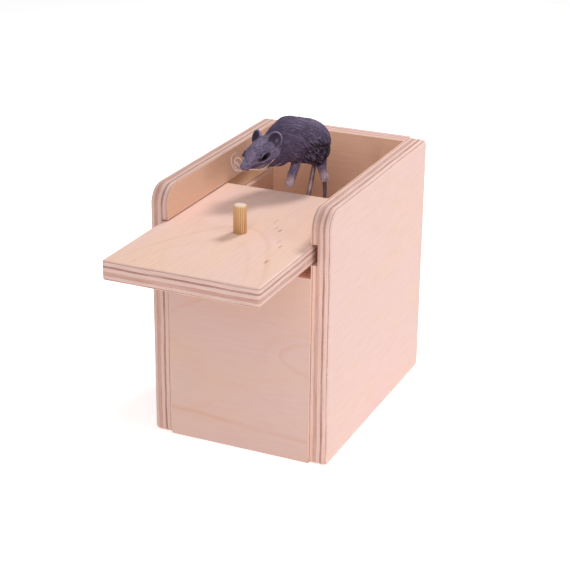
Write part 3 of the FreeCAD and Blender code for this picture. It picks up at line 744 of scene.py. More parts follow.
def carve(form, tool, soft):
    """Smooth removal of tool from form."""
    return -join(-form, tool, soft)


def smooth_step(value, low, high):
    """Share from 0 at low to 1 at high."""
    share = np.clip((value - low) / (high - low), 0.0, 1.0)
    return share * share * (3.0 - 2.0 * share)


def field_mesh(distance, low, high, step):
    """Faces round a distance field. Only the blocks that the surface passes are worked out finely."""
    block, reach = 4, 1.6
    counts = np.ceil((high - low) / (step * block)).astype(int)
    starts = np.stack(np.meshgrid(*[np.arange(n) for n in counts], indexing="ij"), axis=-1)
    middles = low + (starts + 0.5 - 0.5 / block) * step * block
    coarse = distance(middles.reshape(-1, 3)).reshape(counts)
    field = coarse.repeat(block, 0).repeat(block, 1).repeat(block, 2)
    near = np.argwhere(np.abs(field) < step * block * reach)
    field[near[:, 0], near[:, 1], near[:, 2]] = distance(low + near * step)
    grid = openvdb.FloatGrid()
    grid.copyFromArray(field.astype(np.float32))
    points, faces = grid.convertToQuads(isovalue=0.0)
    return low + points.astype(float) * step, faces


def normals_of(distance, points):
    """Outward directions at points near the surface."""
    nudge = 0.05
    slopes = [distance(points + offset) - distance(points - offset) for offset in np.eye(3) * nudge]
    slope = np.stack(slopes, axis=-1)
    return slope / np.maximum(np.linalg.norm(slope, axis=-1, keepdims=True), 1e-9)


def settle(distance, points):
    """Draws the points onto the surface, and gives their normals."""
    rounds, share = 2, 0.9
    for _ in range(rounds):
        normals = normals_of(distance, points)
        points = points - normals * distance(points)[:, None] * share
    return points, normals_of(distance, points)


def lie_flat(directions, normals):
    """The directions, turned to run along the surface."""
    flat = directions - normals * np.sum(directions * normals, axis=-1, keepdims=True)
    return flat / np.maximum(np.linalg.norm(flat, axis=-1, keepdims=True), 1e-6)


def lattice_noise(points, cell, seed):
    """Smooth seeded noise from -1 to 1, with features about the size of a cell."""
    count = 32
    lattice = np.random.default_rng(seed).random((count, count, count)) * 2.0 - 1.0
    place = points / cell
    corner = np.floor(place).astype(int)
    share = smooth_step(place - corner, 0.0, 1.0)
    shares = (1 - share.T, share.T)
    sides = (corner.T % count, (corner.T + 1) % count)
    total = np.zeros(len(points))
    for i, j, k in np.ndindex(2, 2, 2):
        weight = shares[i][0] * shares[j][1] * shares[k][2]
        total += weight * lattice[sides[i][0], sides[j][1], sides[k][2]]
    return total


def combed(points, flow, cell, reach, seed):
    """Noise drawn out along the lie of the fur."""
    samples = np.linspace(-1.0, 1.0, 9)
    total = sum(lattice_noise(points + flow * reach * t, cell, seed) for t in samples)
    return total / np.std(total)


# Mouse. Its forms are in millimetres, placed from the hub that carries the wire.

NEAR, FAR = 1, -1
NEAR_AND_FAR = (NEAR, FAR)
DOWN = np.array([0.0, 0.0, -1.0])


def turned_axes(yaw, pitch, roll=0.0):
    """Forward, sideways and up directions, as the rows of a matrix. Sideways is towards the camera."""
    y, p, r = (math.radians(angle) for angle in (yaw, pitch, roll))
    forward = np.array([-math.sin(y) * math.cos(p), -math.cos(y) * math.cos(p), math.sin(p)])
    level_side = np.array([math.cos(y), -math.sin(y), 0.0])
    level_up = np.cross(forward, level_side)
    side = level_side * math.cos(r) + level_up * math.sin(r)
    up = level_up * math.cos(r) - level_side * math.sin(r)
    return np.array([forward, side, up])


class Region:
    """A region of the mouse: its centre, and its forward, sideways and up directions."""

    def __init__(self, centre, axes):
        self.centre = centre
        self.axes = axes

    def turned(self, ahead, side, up):
        return np.array([ahead, side, up]) @ self.axes

    def at(self, ahead, side, up):
        return self.centre + self.turned(ahead, side, up)

    def local(self, points):
        """How far ahead, sideways and up the points are from the centre."""
        return (points - self.centre) @ self.axes.T


HEAD_YAW, HEAD_PITCH, HEAD_ROLL = 13.5, -19.5, 8.0
HUB_CENTRE = sum(box_mm("arm_hub")) / 2
BODY = Region(HUB_CENTRE + (-4.0, 22.2, 46.85), turned_axes(45.0, 8.0))
LEVEL = Region(BODY.centre, turned_axes(45.0, 0.0))
CHEST = Region(BODY.centre + (-7.5, -8.5, 0.8), turned_axes(38.0, 4.0))
HEAD = Region(CHEST.centre + (-3.75, -12.6, -2.1), turned_axes(HEAD_YAW, HEAD_PITCH, HEAD_ROLL))


class Lump(namedtuple("Lump", "region place radii soft")):
    """An ellipsoid in a region, and how softly it joins the forms before it."""

    def added_to(self, form, points):
        lump = ellipsoid(points, self.region.at(*self.place), self.region.axes, self.radii)
        return lump if form is None else join(form, lump, self.soft)


class Bar(namedtuple("Bar", "start end radii soft")):
    """A tapered bar between two points, and how softly it joins the forms before it."""

    def added_to(self, form, points):
        return join(form, limb(points, self.start, self.end, *self.radii), self.soft)


class Crease(Bar):
    """A tapered bar that is cut out of the forms before it."""

    def added_to(self, form, points):
        return carve(form, limb(points, self.start, self.end, *self.radii), self.soft)


def paired(*lumps):
    """The lumps on the near side, then the same lumps on the far side."""
    return [lump._replace(place=(lump.place[0], lump.place[1] * side, lump.place[2]))
            for side in NEAR_AND_FAR for lump in lumps]


# Belly, back, chest, far shoulder, crease over the shoulder, haunches and forelegs' roots, neck, throat.
TRUNK_FORMS = (
    Lump(BODY, (0.0, 0.0, 0.0), (13.0, 9.4, 10.6), None),
    Lump(BODY, (4.2, 0.0, 1.0), (8.5, 7.0, 10.1), 0.8),
    Lump(CHEST, (-1.6, 0.0, 0.4), (8.6, 8.4, 10.0), 3.0),
    Lump(CHEST, (-5.2, -4.2, 5.7), (7.4, 4.4, 5.2), 0.6),
    Crease(CHEST.at(4.5, -1.0, 8.6), CHEST.at(-5.0, -1.2, 11.2), (0.6, 0.2), 0.9),
    *paired(Lump(BODY, (-4.6, 5.4, -3.6), (6.4, 3.6, 6.4), 2.2),
            Lump(BODY, (6.4, 5.8, -3.2), (3.6, 3.0, 6.0), 1.6)),
    Bar(CHEST.at(2.0, 0.0, -0.8), HEAD.at(-2.0, 0.0, -0.4), (7.2, 5.6), 2.5),
    Bar(CHEST.at(2.0, 1.0, -6.8), HEAD.at(0.5, 0.0, -3.4), (4.8, 3.7), 2.0),
)

# Skull, bridge of the snout, jaw, cheeks with muzzle and brows, nose.
HEAD_FORMS = (
    Lump(HEAD, (0.0, 0.0, 0.0), (10.0, 7.0, 6.2), None),
    Bar(HEAD.at(5.0, 0.0, 0.8), HEAD.at(13.8, 0.0, 1.2), (4.3, 1.9), 2.0),
    Bar(HEAD.at(2.0, 0.0, -3.0), HEAD.at(12.4, 0.0, -0.4), (3.2, 1.4), 1.0),
    *paired(Lump(HEAD, (-0.5, 4.6, -2.2), (4.6, 2.7, 3.2), 1.8),
            Lump(HEAD, (13.0, 1.2, 0.5), (2.6, 1.3, 1.4), 0.8),
            Lump(HEAD, (5.7, 4.9, 2.4), (2.8, 1.6, 1.2), 1.2)),
    Lump(HEAD, (15.0, 0.0, 1.5), (1.5, 1.45, 1.25), 0.5),
)


def built_up(points, forms):
    """Distance to the forms, added one after another."""
    whole = None
    for form in forms:
        whole = form.added_to(whole, points)
    return whole


# The front legs, then the hind legs. Each far leg stands its setback behind the near one.
Leg = namedtuple("Leg", "hip_ahead foot_ahead foot_drop hip_radius ankle_radius far_setback")
LEGS = (Leg(4.2, 9.1, 18.9, 2.2, 1.8, 4.9), Leg(-4.4, -8.6, 18.0, 2.1, 1.55, 3.6))
HIP_SIDE, HIP_DROP, FOOT_SIDE = 4.6, 5.0, 5.35
FOOT_RADII, FOOT_RISE, SOLE_DROP = (2.0, 1.8, 1.7), 0.6, 0.9
TOES, TOE_SPACING, TOE_RADII = 4, 0.95, (0.55, 0.42)


def foot_places():
    """Every leg with its hip and foot."""
    for leg in LEGS:
        for side in NEAR_AND_FAR:
            setback = leg.far_setback if side == FAR else 0.0
            hip = LEVEL.at(leg.hip_ahead - setback, HIP_SIDE * side, -HIP_DROP)
            foot = LEVEL.at(leg.foot_ahead - setback, FOOT_SIDE * side, -leg.foot_drop)
            yield leg, hip, foot


def one_leg(points, leg, hip, foot):
    """Tapered leg with a flared, flat-soled foot and its toes."""
    form = limb(points, hip, foot, leg.hip_radius, leg.ankle_radius)
    form = join(form, ellipsoid(points, foot - DOWN * FOOT_RISE, LEVEL.axes, FOOT_RADII), 1.2)
    form = np.maximum(form, foot[2] - SOLE_DROP - points[..., 2])
    for toe in range(TOES):
        spread = (toe - (TOES - 1) / 2) * TOE_SPACING
        root = foot + LEVEL.turned(0.75 * spread, 0.9, 0.9)
        tip = foot + LEVEL.turned(1.08 * spread, 1.3, -1.2)
        form = join(form, limb(points, root, tip, *TOE_RADII), 0.35)
    return form


def legs(points):
    return np.min([one_leg(points, *places) for places in foot_places()], axis=0)


def ear_region(centre, facing, rise):
    """Region of an ear, whose forward direction is the way that its bowl opens, in the head's terms."""
    rise = HEAD.turned(*rise)
    rise = rise / np.linalg.norm(rise)
    facing = HEAD.turned(*facing)
    facing = facing - rise * (facing @ rise)
    facing = facing / np.linalg.norm(facing)
    return Region(HEAD.at(*centre), np.array([facing, np.cross(rise, facing), rise]))


EARS = {
    NEAR: ear_region((-3.3, 6.7, 5.2), (0.78, 0.54, 0.32), (-0.58, 0.42, 0.70)),
    FAR: ear_region((-4.8, -6.2, 4.2), (0.85, -0.25, 0.46), (-0.63, 0.05, 0.77)),
}
EAR_ROOTS = {NEAR: HEAD.at(-3.6, 4.6, 2.6), FAR: HEAD.at(-3.2, -4.2, 2.2)}
EAR_HALF_DEPTH, EAR_HALF_WIDTH, EAR_HALF_HEIGHT, EAR_RIM = 1.6, 3.35, 3.9, 0.40
BOWL_AHEAD, BOWL_HALF_DEPTH = 2.0, 2.5


def one_ear(points, side):
    """Thin shell with a hollow bowl, on a stem from the skull."""
    ear = EARS[side]
    form = ellipsoid(points, ear.centre, ear.axes, (EAR_HALF_DEPTH, EAR_HALF_WIDTH, EAR_HALF_HEIGHT))
    form = join(form, limb(points, EAR_ROOTS[side], ear.at(-0.8, 0.0, -0.8), 2.4, 1.6), 1.0)
    bowl_radii = (BOWL_HALF_DEPTH, EAR_HALF_WIDTH - EAR_RIM, EAR_HALF_HEIGHT - EAR_RIM)
    return carve(form, ellipsoid(points, ear.at(BOWL_AHEAD, 0.0, 0.0), ear.axes, bowl_radii), 0.3)


def ears(points):
    return np.minimum(one_ear(points, NEAR), one_ear(points, FAR))


EYE_AHEAD, EYE_SIDE, EYE_UP = 5.6, 5.5, 1.1
EYE_RADII = (1.3, 1.0, 0.82)
EYE_SPLAY, EYE_DROOP = 14.0, 4.0
EYES = {side: Region(HEAD.at(EYE_AHEAD, EYE_SIDE * side, EYE_UP),
                     turned_axes(HEAD_YAW + EYE_SPLAY * side, HEAD_PITCH - EYE_DROOP, HEAD_ROLL))
        for side in NEAR_AND_FAR}
SOCKET_SIDE, SOCKET_RADII = 6.5, (2.4, 1.5, 1.2)
LID_BEHIND, LID_SIDE, LID_DROP, LID_RADII = 0.2, 5.4, 1.9, (2.3, 0.5, 0.3)
ALMOND_RADII = (3.1, 1.7, 1.2)
NOSTRIL, NOSTRIL_RADII = (16.3, 0.75, 1.3), (0.5, 0.3, 0.28)


def eye_ball(points, side):
    return ellipsoid(points, EYES[side].centre, EYES[side].axes, EYE_RADII)


def eye_balls(points):
    return np.minimum(eye_ball(points, NEAR), eye_ball(points, FAR))


def with_face_cuts(form, points):
    """The form with eye sockets, lower lids and nostrils."""
    for side in NEAR_AND_FAR:
        axes = EYES[side].axes
        socket = HEAD.at(EYE_AHEAD, SOCKET_SIDE * side, EYE_UP)
        form = carve(form, ellipsoid(points, socket, axes, SOCKET_RADII), 0.6)
        lid = HEAD.at(EYE_AHEAD - LID_BEHIND, LID_SIDE * side, EYE_UP - LID_DROP)
        form = join(form, ellipsoid(points, lid, axes, LID_RADII), 0.6)
        nostril = HEAD.at(NOSTRIL[0], NOSTRIL[1] * side, NOSTRIL[2])
        form = carve(form, ellipsoid(points, nostril, HEAD.axes, NOSTRIL_RADII), 0.2)
    return form


def skin_distance(points):
    """Distance to the whole moulding, without its fur."""
    form = join(built_up(points, TRUNK_FORMS), built_up(points, HEAD_FORMS), 1.5)
    form = join(form, legs(points), 1.4)
    form = join(form, ears(points), 0.7)
    return with_face_cuts(form, points)


# Fur. Lengths are in millimetres.

# Depth of the fur in each region, as a share of the full depth, and how much of it a bare foot loses.
BACK_FUR, HIND_FUR, HEAD_FUR, LEG_FUR = 0.26, 1.0, 0.36, 0.34
BARE_FOOT_LOSS = 0.7

# Direction of the fur: how far it leans down over the back, and how much further at the rear.
BACK_LEAN, REAR_LEAN = 0.16, 0.55
SWIRL_CELL, SWIRL_TURN, SWIRL_SEED = 2.2, 0.6, 11

# A lock is a broad strand with narrower wisps.
STRAND_REACH, STRAND_SHARE, STRAND_SEED = 1.7, 0.75, 5
WISP_WIDTH_SHARE, WISP_REACH, WISP_SHARE, WISP_SEED = 0.6, 0.9, 0.35, 6
LOCK_TOP, LOCK_MIDDLE = 1.5, 0.75

# Folds of the face, and the painted glint in each ear's bowl.
WRINKLE_SPACING, WRINKLE_HEIGHT, WRINKLE_CELL, WRINKLE_SEED = 1.15, 0.22, 1.6, 21
MOUTH_DROP, MOUTH_SLOPE, MOUTH_FRONT, MOUTH_DEPTH = 0.6, 0.13, 15.0, 0.25
GLINT_PLACE, GLINT_RADII = (0.9, -0.2), (0.8, 1.5)

# Shares of painted shade, in the grooves between the locks and in the folds and hollows.
BACK_CREASE, FLANK_CREASE, HEAD_CREASE, WISP_CREASE = 0.32, 0.68, 0.10, 0.45
HIND_SHADE, CROOK_SHADE, WRINKLE_SHADE, MOUTH_SHADE, BOWL_SHADE = 0.90, 0.6, 0.85, 0.55, 0.50
ALMOND_SHADE, FAR_EYE_SHADE, LID_LOSS = 0.9, 0.85, 0.8

# Shares of painted highlight and lighter coat, and of pale skin.
CROWN_LIGHT, LEG_LIGHT, CREST_LIGHT, HIND_CREST_LIGHT, LID_LIGHT = 0.52, 0.40, 0.16, 0.18, 0.35
GLINT_LIGHT, RIM_LIGHT = 0.75, 1.2
PAW_PALENESS, JAW_PALENESS = 0.9, 0.55


def blended(first, second, share):
    """First where the share is 0, second where it is 1."""
    return first * (1 - share) + second * share


class Skin:
    """Points of the mouse's skin, with the share of each region that they lie in."""

    def __init__(self, points, normals):
        self.points = points
        self.normals = normals
        from_trunk, from_head = built_up(points, TRUNK_FORMS), built_up(points, HEAD_FORMS)
        from_legs, from_ears = legs(points), ears(points)
        self.on_legs = smooth_step(from_trunk - from_legs, 0.3, 1.6)
        self.on_head = smooth_step(from_trunk - from_head, -0.4, 1.6) * (1 - self.on_legs)
        self.on_ears = smooth_step(np.minimum(from_head, from_trunk) - from_ears, 0.2, 0.8)
        self.in_crook = smooth_step(np.abs(from_trunk - from_legs), 2.6, 0.4)
        ahead, _, up = BODY.local(points).T
        self.rear = smooth_step(ahead, 10.0, -5.0)
        self.low_down = smooth_step(up, 8.5, -2.0)
        self.in_hind = self.rear * self.low_down
        self.head_ahead, _, self.head_up = HEAD.local(points).T
        self.eye_gap = eye_balls(points)
        foot_gaps = [np.linalg.norm(points - foot, axis=-1) for _, _, foot in foot_places()]
        self.bare_foot = smooth_step(np.min(foot_gaps, axis=0), 6.0, 2.0)
        on_nose = smooth_step(self.head_ahead, 14.5, 16.5)
        self.furred = ((1 - BARE_FOOT_LOSS * self.bare_foot) * (1 - self.on_ears) * (1 - on_nose)
                       * smooth_step(self.eye_gap, 0.2, 1.4))

    def lie_of_fur(self):
        """Direction of the fur: backward, more downward at the rear, and down the legs, with swirls."""
        on_head, on_legs = self.on_head[:, None], self.on_legs[:, None]
        lean = (BACK_LEAN + REAR_LEAN * self.rear)[:, None]
        backward = -BODY.axes[0] - BODY.axes[2] * lean
        backward = blended(backward, -HEAD.axes[0], on_head)
        backward = blended(backward, DOWN, on_legs)
        flow = lie_flat(backward, self.normals)
        swirl = (lattice_noise(self.points, SWIRL_CELL, SWIRL_SEED) * SWIRL_TURN)[:, None]
        return flow * np.cos(swirl) + np.cross(self.normals, flow) * np.sin(swirl)

    def strands_and_wisps(self, lock_width_mm):
        """Heights of the broad strands and narrow wisps that make up the locks, nought between them."""
        flow = self.lie_of_fur()
        strands = combed(self.points, flow, lock_width_mm, STRAND_REACH, STRAND_SEED)
        wisps = combed(self.points, flow, lock_width_mm * WISP_WIDTH_SHARE, WISP_REACH, WISP_SEED)
        return np.abs(strands), np.abs(wisps)

    def fur_strength(self):
        """Share of the full fur depth."""
        strength = blended(BACK_FUR, HIND_FUR, self.in_hind)
        strength = blended(strength, HEAD_FUR, self.on_head)
        return blended(strength, LEG_FUR, self.on_legs)

    def wrinkles(self):
        """Waves that run round the eyes, on the brow side."""
        above_eye = (smooth_step(self.head_up, 0.0, 2.0) * smooth_step(self.eye_gap, 3.2, 2.4)
                     * smooth_step(self.eye_gap, 0.25, 0.6) * self.on_head)
        uneven = 0.6 + 0.4 * lattice_noise(self.points, WRINKLE_CELL, WRINKLE_SEED)
        return np.cos(self.eye_gap * 2 * math.pi / WRINKLE_SPACING) * above_eye * uneven

    def mouth(self):
        """Share of the mouth's line, which rises towards the nose."""
        gap = np.abs(self.head_up + MOUTH_DROP + MOUTH_SLOPE * (MOUTH_FRONT - self.head_ahead))
        return smooth_step(gap, 0.42, 0.1) * smooth_step(self.head_ahead, 2.5, 4.0) * self.on_head

    def eye_shade_and_lid(self):
        """Shares of the painted shade round each eye and in the near eye's dark almond, and of the near
        eye's lighter lower lid.
        """
        almond = ellipsoid(self.points, EYES[NEAR].centre, EYES[NEAR].axes, ALMOND_RADII)
        shade = np.max([smooth_step(self.eye_gap, 1.3, 0.3), smooth_step(almond, 0.9, 0.0) * ALMOND_SHADE,
                        smooth_step(eye_ball(self.points, FAR), 3.0, 1.4) * FAR_EYE_SHADE], axis=0)
        lid = smooth_step(np.abs(almond - 0.5), 0.45, 0.1) * smooth_step(self.head_up, 0.5, -0.4)
        return shade * self.on_head, lid * self.on_head

    def ear_shade_and_light(self):
        """Shares of the painted shade in each ear's bowl, and of the painted highlight on its rim and its
        glint.
        """
        shade, light = np.zeros(len(self.points)), np.zeros(len(self.points))
        for ear in EARS.values():
            ahead, side, up = ear.local(self.points).T
            ring = np.hypot(side / EAR_HALF_WIDTH, up / EAR_HALF_HEIGHT)
            in_bowl = self.on_ears * smooth_step(ring, 0.92, 0.6) * (ahead > -0.9)
            shade = np.maximum(shade, in_bowl * BOWL_SHADE * smooth_step(side, 2.0, -0.5))
            glint = np.hypot((side - GLINT_PLACE[0]) / GLINT_RADII[0],
                             (up - GLINT_PLACE[1]) / GLINT_RADII[1])
            light = np.maximum(light, in_bowl * GLINT_LIGHT * smooth_step(glint, 1.0, 0.2))
            rim_gap = np.abs(ring - 0.97) * 8 + np.abs(ahead) * 0.3
            light = np.maximum(light, RIM_LIGHT * smooth_step(rim_gap, 0.7, 0.2) * self.on_ears)
        return shade, light

    def carved(self, look):
        """Heights of the fur, and shares of painted shade, pale skin, and painted highlight with lighter
        coat, at each point.
        """
        strands, wisps = self.strands_and_wisps(look.lock_width / MM)
        locks = np.minimum(strands * STRAND_SHARE + wisps * WISP_SHARE, LOCK_TOP)
        wrinkles, mouth = self.wrinkles(), self.mouth()
        eye_shade, eyelid = self.eye_shade_and_lid()
        ear_shade, ear_light = self.ear_shade_and_light()
        height = (look.fur_depth / MM * self.fur_strength() * self.furred * (locks - LOCK_MIDDLE)
                  + wrinkles * WRINKLE_HEIGHT - mouth * MOUTH_DEPTH)

        # Painted shade darkens the grooves between the locks, most of all on the flank, and the folds of
        # the face. It also darkens round the eyes, along the mouth, on the lower rear, round the roots of
        # the legs and in the ear bowls.
        in_flank = smooth_step(self.in_hind, 0.05, 0.75) * (1 - self.on_head) * (1 - self.on_legs)
        crease = np.maximum(smooth_step(strands, 0.62, 0.10),
                            smooth_step(wisps, 0.35, 0.05) * WISP_CREASE)
        depth = BACK_CREASE + FLANK_CREASE * in_flank + HEAD_CREASE * self.on_head
        groove = crease * self.furred * depth
        groove = np.maximum(groove, eye_shade) * (1 - LID_LOSS * eyelid)
        groove = np.maximum(groove, smooth_step(wrinkles, -0.15, -0.75) * WRINKLE_SHADE)
        groove = np.maximum(groove, mouth * MOUTH_SHADE)
        # Painted shade on the lower rear and round the roots of the legs.
        shade = np.maximum(HIND_SHADE * smooth_step(self.in_hind, 0.40, 0.95),
                           CROOK_SHADE * self.in_crook * self.low_down)
        groove = np.maximum(groove, shade * (1 - self.on_legs) * smooth_step(locks, 1.9, 0.4))
        groove = np.maximum(groove, ear_shade)

        # Painted highlights lighten the top of the head, the crests of the locks, the ear rims and a glint
        # in each ear's bowl. The coat is also lighter on the legs and on the near eye's lower lid.
        on_crown = smooth_step(self.head_up, -3.5, 1.5) * self.on_head * (1 - self.on_ears)
        on_crest = smooth_step(locks, 0.7, 1.3) * self.furred
        lift = (CROWN_LIGHT * on_crown + LEG_LIGHT * self.on_legs + LID_LIGHT * eyelid
                + (CREST_LIGHT + HIND_CREST_LIGHT * self.in_hind) * on_crest)
        lift = np.maximum(lift, ear_light)

        on_jaw = smooth_step(self.head_up, -1.6, -3.0) * smooth_step(self.head_ahead, 4.0, 8.0)
        pale = np.maximum(PAW_PALENESS * self.bare_foot, JAW_PALENESS * on_jaw * self.on_head)
        return height, {"groove": groove, "pale": pale, "lift": lift}


# Colour of the painted highlights and of the lighter coat.
LIGHT_COAT_AND_HIGHLIGHT_COLOUR = linear(142, 126, 154)
SKIN_NODES = ("mouse_body", "mouse_head", "mouse_ears", "mouse_front_legs", "mouse_hind_legs")
MESH_MARGIN_MM = 2.0


def mouse_rubber():
    """Matt purplish grey rubber, with painted shade between the locks and in the hollows, painted
    highlights and lighter coat in places, and pale where it is thin.
    """
    look = bpy.context.scene.mouse_box_mouse
    finish = Finish("mouse_rubber")
    place = finish.place_mm()
    # Share of painted shade kept on the skin's points.
    groove = finish.attribute("groove")
    mottle = finish.noise(place, scale=0.35, detail=3.0, roughness=0.6)
    grain = finish.noise(place, scale=3.4, detail=3.0, roughness=0.65)
    coat = finish.mix(finish.steps(mottle, 0.3, 0.7, 0.0, 0.22), look.coat_colour, look.groove_shade_colour)
    lift = finish.add(finish.attribute("lift"), finish.steps(grain, 0.52, 0.75, 0.0, 0.22))
    # Painted highlights and lighter coat.
    coat = finish.mix(lift, coat, LIGHT_COAT_AND_HIGHLIGHT_COLOUR)
    # Painted shade between the locks and in the hollows.
    coat = finish.mix(groove, coat, look.groove_shade_colour)
    streaks = finish.noise(finish.scaled_place("z", along=0.35, across=2.2))
    thin = finish.mix(finish.steps(streaks, 0.35, 0.68, 0.0, 0.5), look.paw_colour, look.coat_colour)
    finish.bump(finish.add(grain, finish.times(groove, -0.5)), 0.05, 0.6)
    finish.surface_is(finish.mix(finish.attribute("pale"), coat, thin),
                      finish.steps(grain, 0.3, 0.7, 0.52, 0.68), specular=0.22)
    return finish.material


class MOUSEBOX_OT_mouse_skin(bpy.types.Operator):
    """Mould the mouse's body, head, ears and legs, with the carved fur"""
    bl_idname = "mousebox.mouse_skin"
    bl_label = "Mouse Skin"

    def execute(self, context):
        look = context.scene.mouse_box_mouse
        low, high = box_mm(*SKIN_NODES, margin=MESH_MARGIN_MM)
        points, faces = field_mesh(skin_distance, low, high, look.skin_step / MM)
        points, normals = settle(skin_distance, points)
        height, shares = Skin(points, normals).carved(look)
        points = points + normals * height[:, None]
        piece = new_piece("mouse_skin", points, faces, mouse_rubber(), "arm", "mouse_rubber", SKIN_NODES)
        for name, values in shares.items():
            mark(piece, name, values)
        return {"FINISHED"}


# Eyes

EYE_STEP_MM = 0.16


def eye_gloss():
    """Polished black, with a faint cloud and smears."""
    finish = Finish("eye_black")
    place = finish.place_mm()
    cloud = finish.noise(place, scale=1.2)
    smear = finish.noise(place, scale=5.0, roughness=0.7)
    finish.bump(cloud, 0.01, 0.4)
    finish.surface_is(finish.mix(finish.steps(cloud, 0.4, 0.7), linear(8, 6, 8), linear(18, 12, 15)),
                      finish.steps(smear, 0.4, 0.75, 0.28, 0.42), specular=0.05)
    return finish.material


class MOUSEBOX_OT_mouse_eyes(bpy.types.Operator):
    """Set the mouse's glossy black eyes"""
    bl_idname = "mousebox.mouse_eyes"
    bl_label = "Mouse Eyes"

    def execute(self, context):
        low, high = box_mm("mouse_eyes", margin=MESH_MARGIN_MM)
        points, faces = field_mesh(eye_balls, low, high, EYE_STEP_MM)
        points, _ = settle(eye_balls, points)
        new_piece("mouse_eye_balls", points, faces, eye_gloss(), "arm", "eye_black", ("mouse_eyes",))
        return {"FINISHED"}


# Tail

TAIL_RING_MM, STEPS_PER_RING, TAIL_SIDES = 0.95, 6, 20
TAIL_ROOT_DROP, TAIL_TIP_DROP, TAIL_BEHIND, TAIL_BOW = 5.0, 35.3, 10.8, 0.9
TAIL_ROOT_RADIUS, TAIL_TAPER, TAIL_RING_HEIGHT = 1.62, 1.0, 0.06
TIP_SHARE, TIP_STEPS = 0.3, 8


def tube(path, radii, sides):
    """Points and faces of a closed tube along a path, in millimetres."""
    path = np.asarray(path, dtype=float)
    points = []
    across = np.array([1.0, 0.0, 0.0])
    for n, place in enumerate(path):
        run = path[min(n + 1, len(path) - 1)] - path[max(n - 1, 0)]
        run = run / np.linalg.norm(run)
        across = across - run * (across @ run)
        across = across / np.linalg.norm(across)
        over = np.cross(run, across)
        for k in range(sides):
            angle = 2 * math.pi * k / sides
            points.append(place + radii[n] * (across * math.cos(angle) + over * math.sin(angle)))
    return points, loft_faces(len(path), sides)


def ringed_tail():
    """Points and faces of the tail, which hangs with a slight double bend and tapers to its tip."""
    count = int((TAIL_TIP_DROP - TAIL_ROOT_DROP) / TAIL_RING_MM) * STEPS_PER_RING
    path, radii = [], []
    for n in range(count + 1):
        share = n / count
        drop = TAIL_ROOT_DROP + (TAIL_TIP_DROP - TAIL_ROOT_DROP) * share
        path.append(LEVEL.at(-TAIL_BEHIND, -TAIL_BOW * math.sin(2 * math.pi * share), -drop))
        ring = math.cos(2 * math.pi * n / STEPS_PER_RING)
        tip = min(1.0, TIP_SHARE + (count - n) / TIP_STEPS)
        radii.append((TAIL_ROOT_RADIUS - TAIL_TAPER * share + TAIL_RING_HEIGHT * ring) * tip)
    return tube(path, radii, TAIL_SIDES)


def tail_rubber():
    """Bare brownish rubber, a little glossier than the coat."""
    finish = Finish("tail_rubber")
    grain = finish.noise(finish.place_mm(), scale=2.6, detail=3.0, roughness=0.6)
    finish.bump(grain, 0.05, 0.6)
    finish.surface_is(
        finish.mix(finish.steps(grain, 0.35, 0.7), linear(112, 92, 104), linear(134, 112, 120)),
        finish.steps(grain, 0.3, 0.7, 0.48, 0.62), specular=0.4)
    return finish.material


class MOUSEBOX_OT_mouse_tail(bpy.types.Operator):
    """Hang the mouse's ringed tail"""
    bl_idname = "mousebox.mouse_tail"
    bl_label = "Mouse Tail"

    def execute(self, context):
        new_piece("mouse_ringed_tail", *ringed_tail(), tail_rubber(), "arm", "mouse_rubber",
                  ("mouse_tail",))
        return {"FINISHED"}


# Whiskers, as each strand's root radius and the points that it bends through, in the head's directions.

WHISKER_PATHS = (
    (0.34, (13.8, 2.0, -0.7), (10.6, 2.5, -2.6), (7.6, 2.7, -4.5), (5.4, 4.6, -4.0), (2.2, 7.5, -2.0)),
    (0.09, (9.5, 2.6, -3.8), (4.6, 3.4, -6.6), (-0.3, 4.2, -7.6), (-4.4, 4.4, -8.6)),
    (0.09, (10.5, 2.4, -3.0), (6.0, 3.6, -5.6), (1.6, 4.8, -7.0), (-2.6, 6.0, -7.2)),
    (0.36, (15.5, -1.0, 0.0), (16.0, -4.6, -0.2), (16.2, -5.4, 3.0), (16.0, -3.6, 7.4), (15.5, -0.6, 9.4)),
    (0.34, (15.2, -1.2, -0.4), (15.6, -3.4, -0.2), (16.0, -4.0, 2.6), (16.2, -2.2, 4.6), (15.8, -1.4, 3.0)),
    (0.30, (14.8, -1.2, -0.8), (15.2, -4.8, -1.6), (15.8, -6.0, 1.2), (16.2, -4.8, 5.6)),
    (0.28, (14.8, -1.4, 0.4), (15.3, -4.0, 4.0), (13.6, -2.9, 5.4), (13.4, -1.5, 3.3), (15.2, -3.0, 1.6)),
)
WHISKER_STEPS, WHISKER_SIDES, WHISKER_TIP_SHARE = 32, 8, 0.4


def bent_through(corners, count):
    """Smooth path through the corners."""
    corners = np.asarray(corners)
    padded = np.concatenate([2 * corners[:1] - corners[1:2], corners, 2 * corners[-1:] - corners[-2:-1]])
    path = []
    for place in np.linspace(0.0, len(corners) - 1 - 1e-6, count):
        first = int(place)
        t = place - first
        a, b, c, d = padded[first:first + 4]
        path.append(0.5 * (2 * b + (c - a) * t + (2 * a - 5 * b + 4 * c - d) * t * t
                           + (3 * b - a - 3 * c + d) * t ** 3))
    return path


def bristles():
    """Points and faces of all the strands."""
    points, faces = [], []
    for root_radius, *corners in WHISKER_PATHS:
        path = bent_through([HEAD.at(*corner) for corner in corners], WHISKER_STEPS)
        radii = root_radius * np.linspace(1.0, WHISKER_TIP_SHARE, len(path))
        strand_points, strand_faces = tube(path, radii, WHISKER_SIDES)
        faces += [tuple(k + len(points) for k in face) for face in strand_faces]
        points += strand_points
    return points, faces


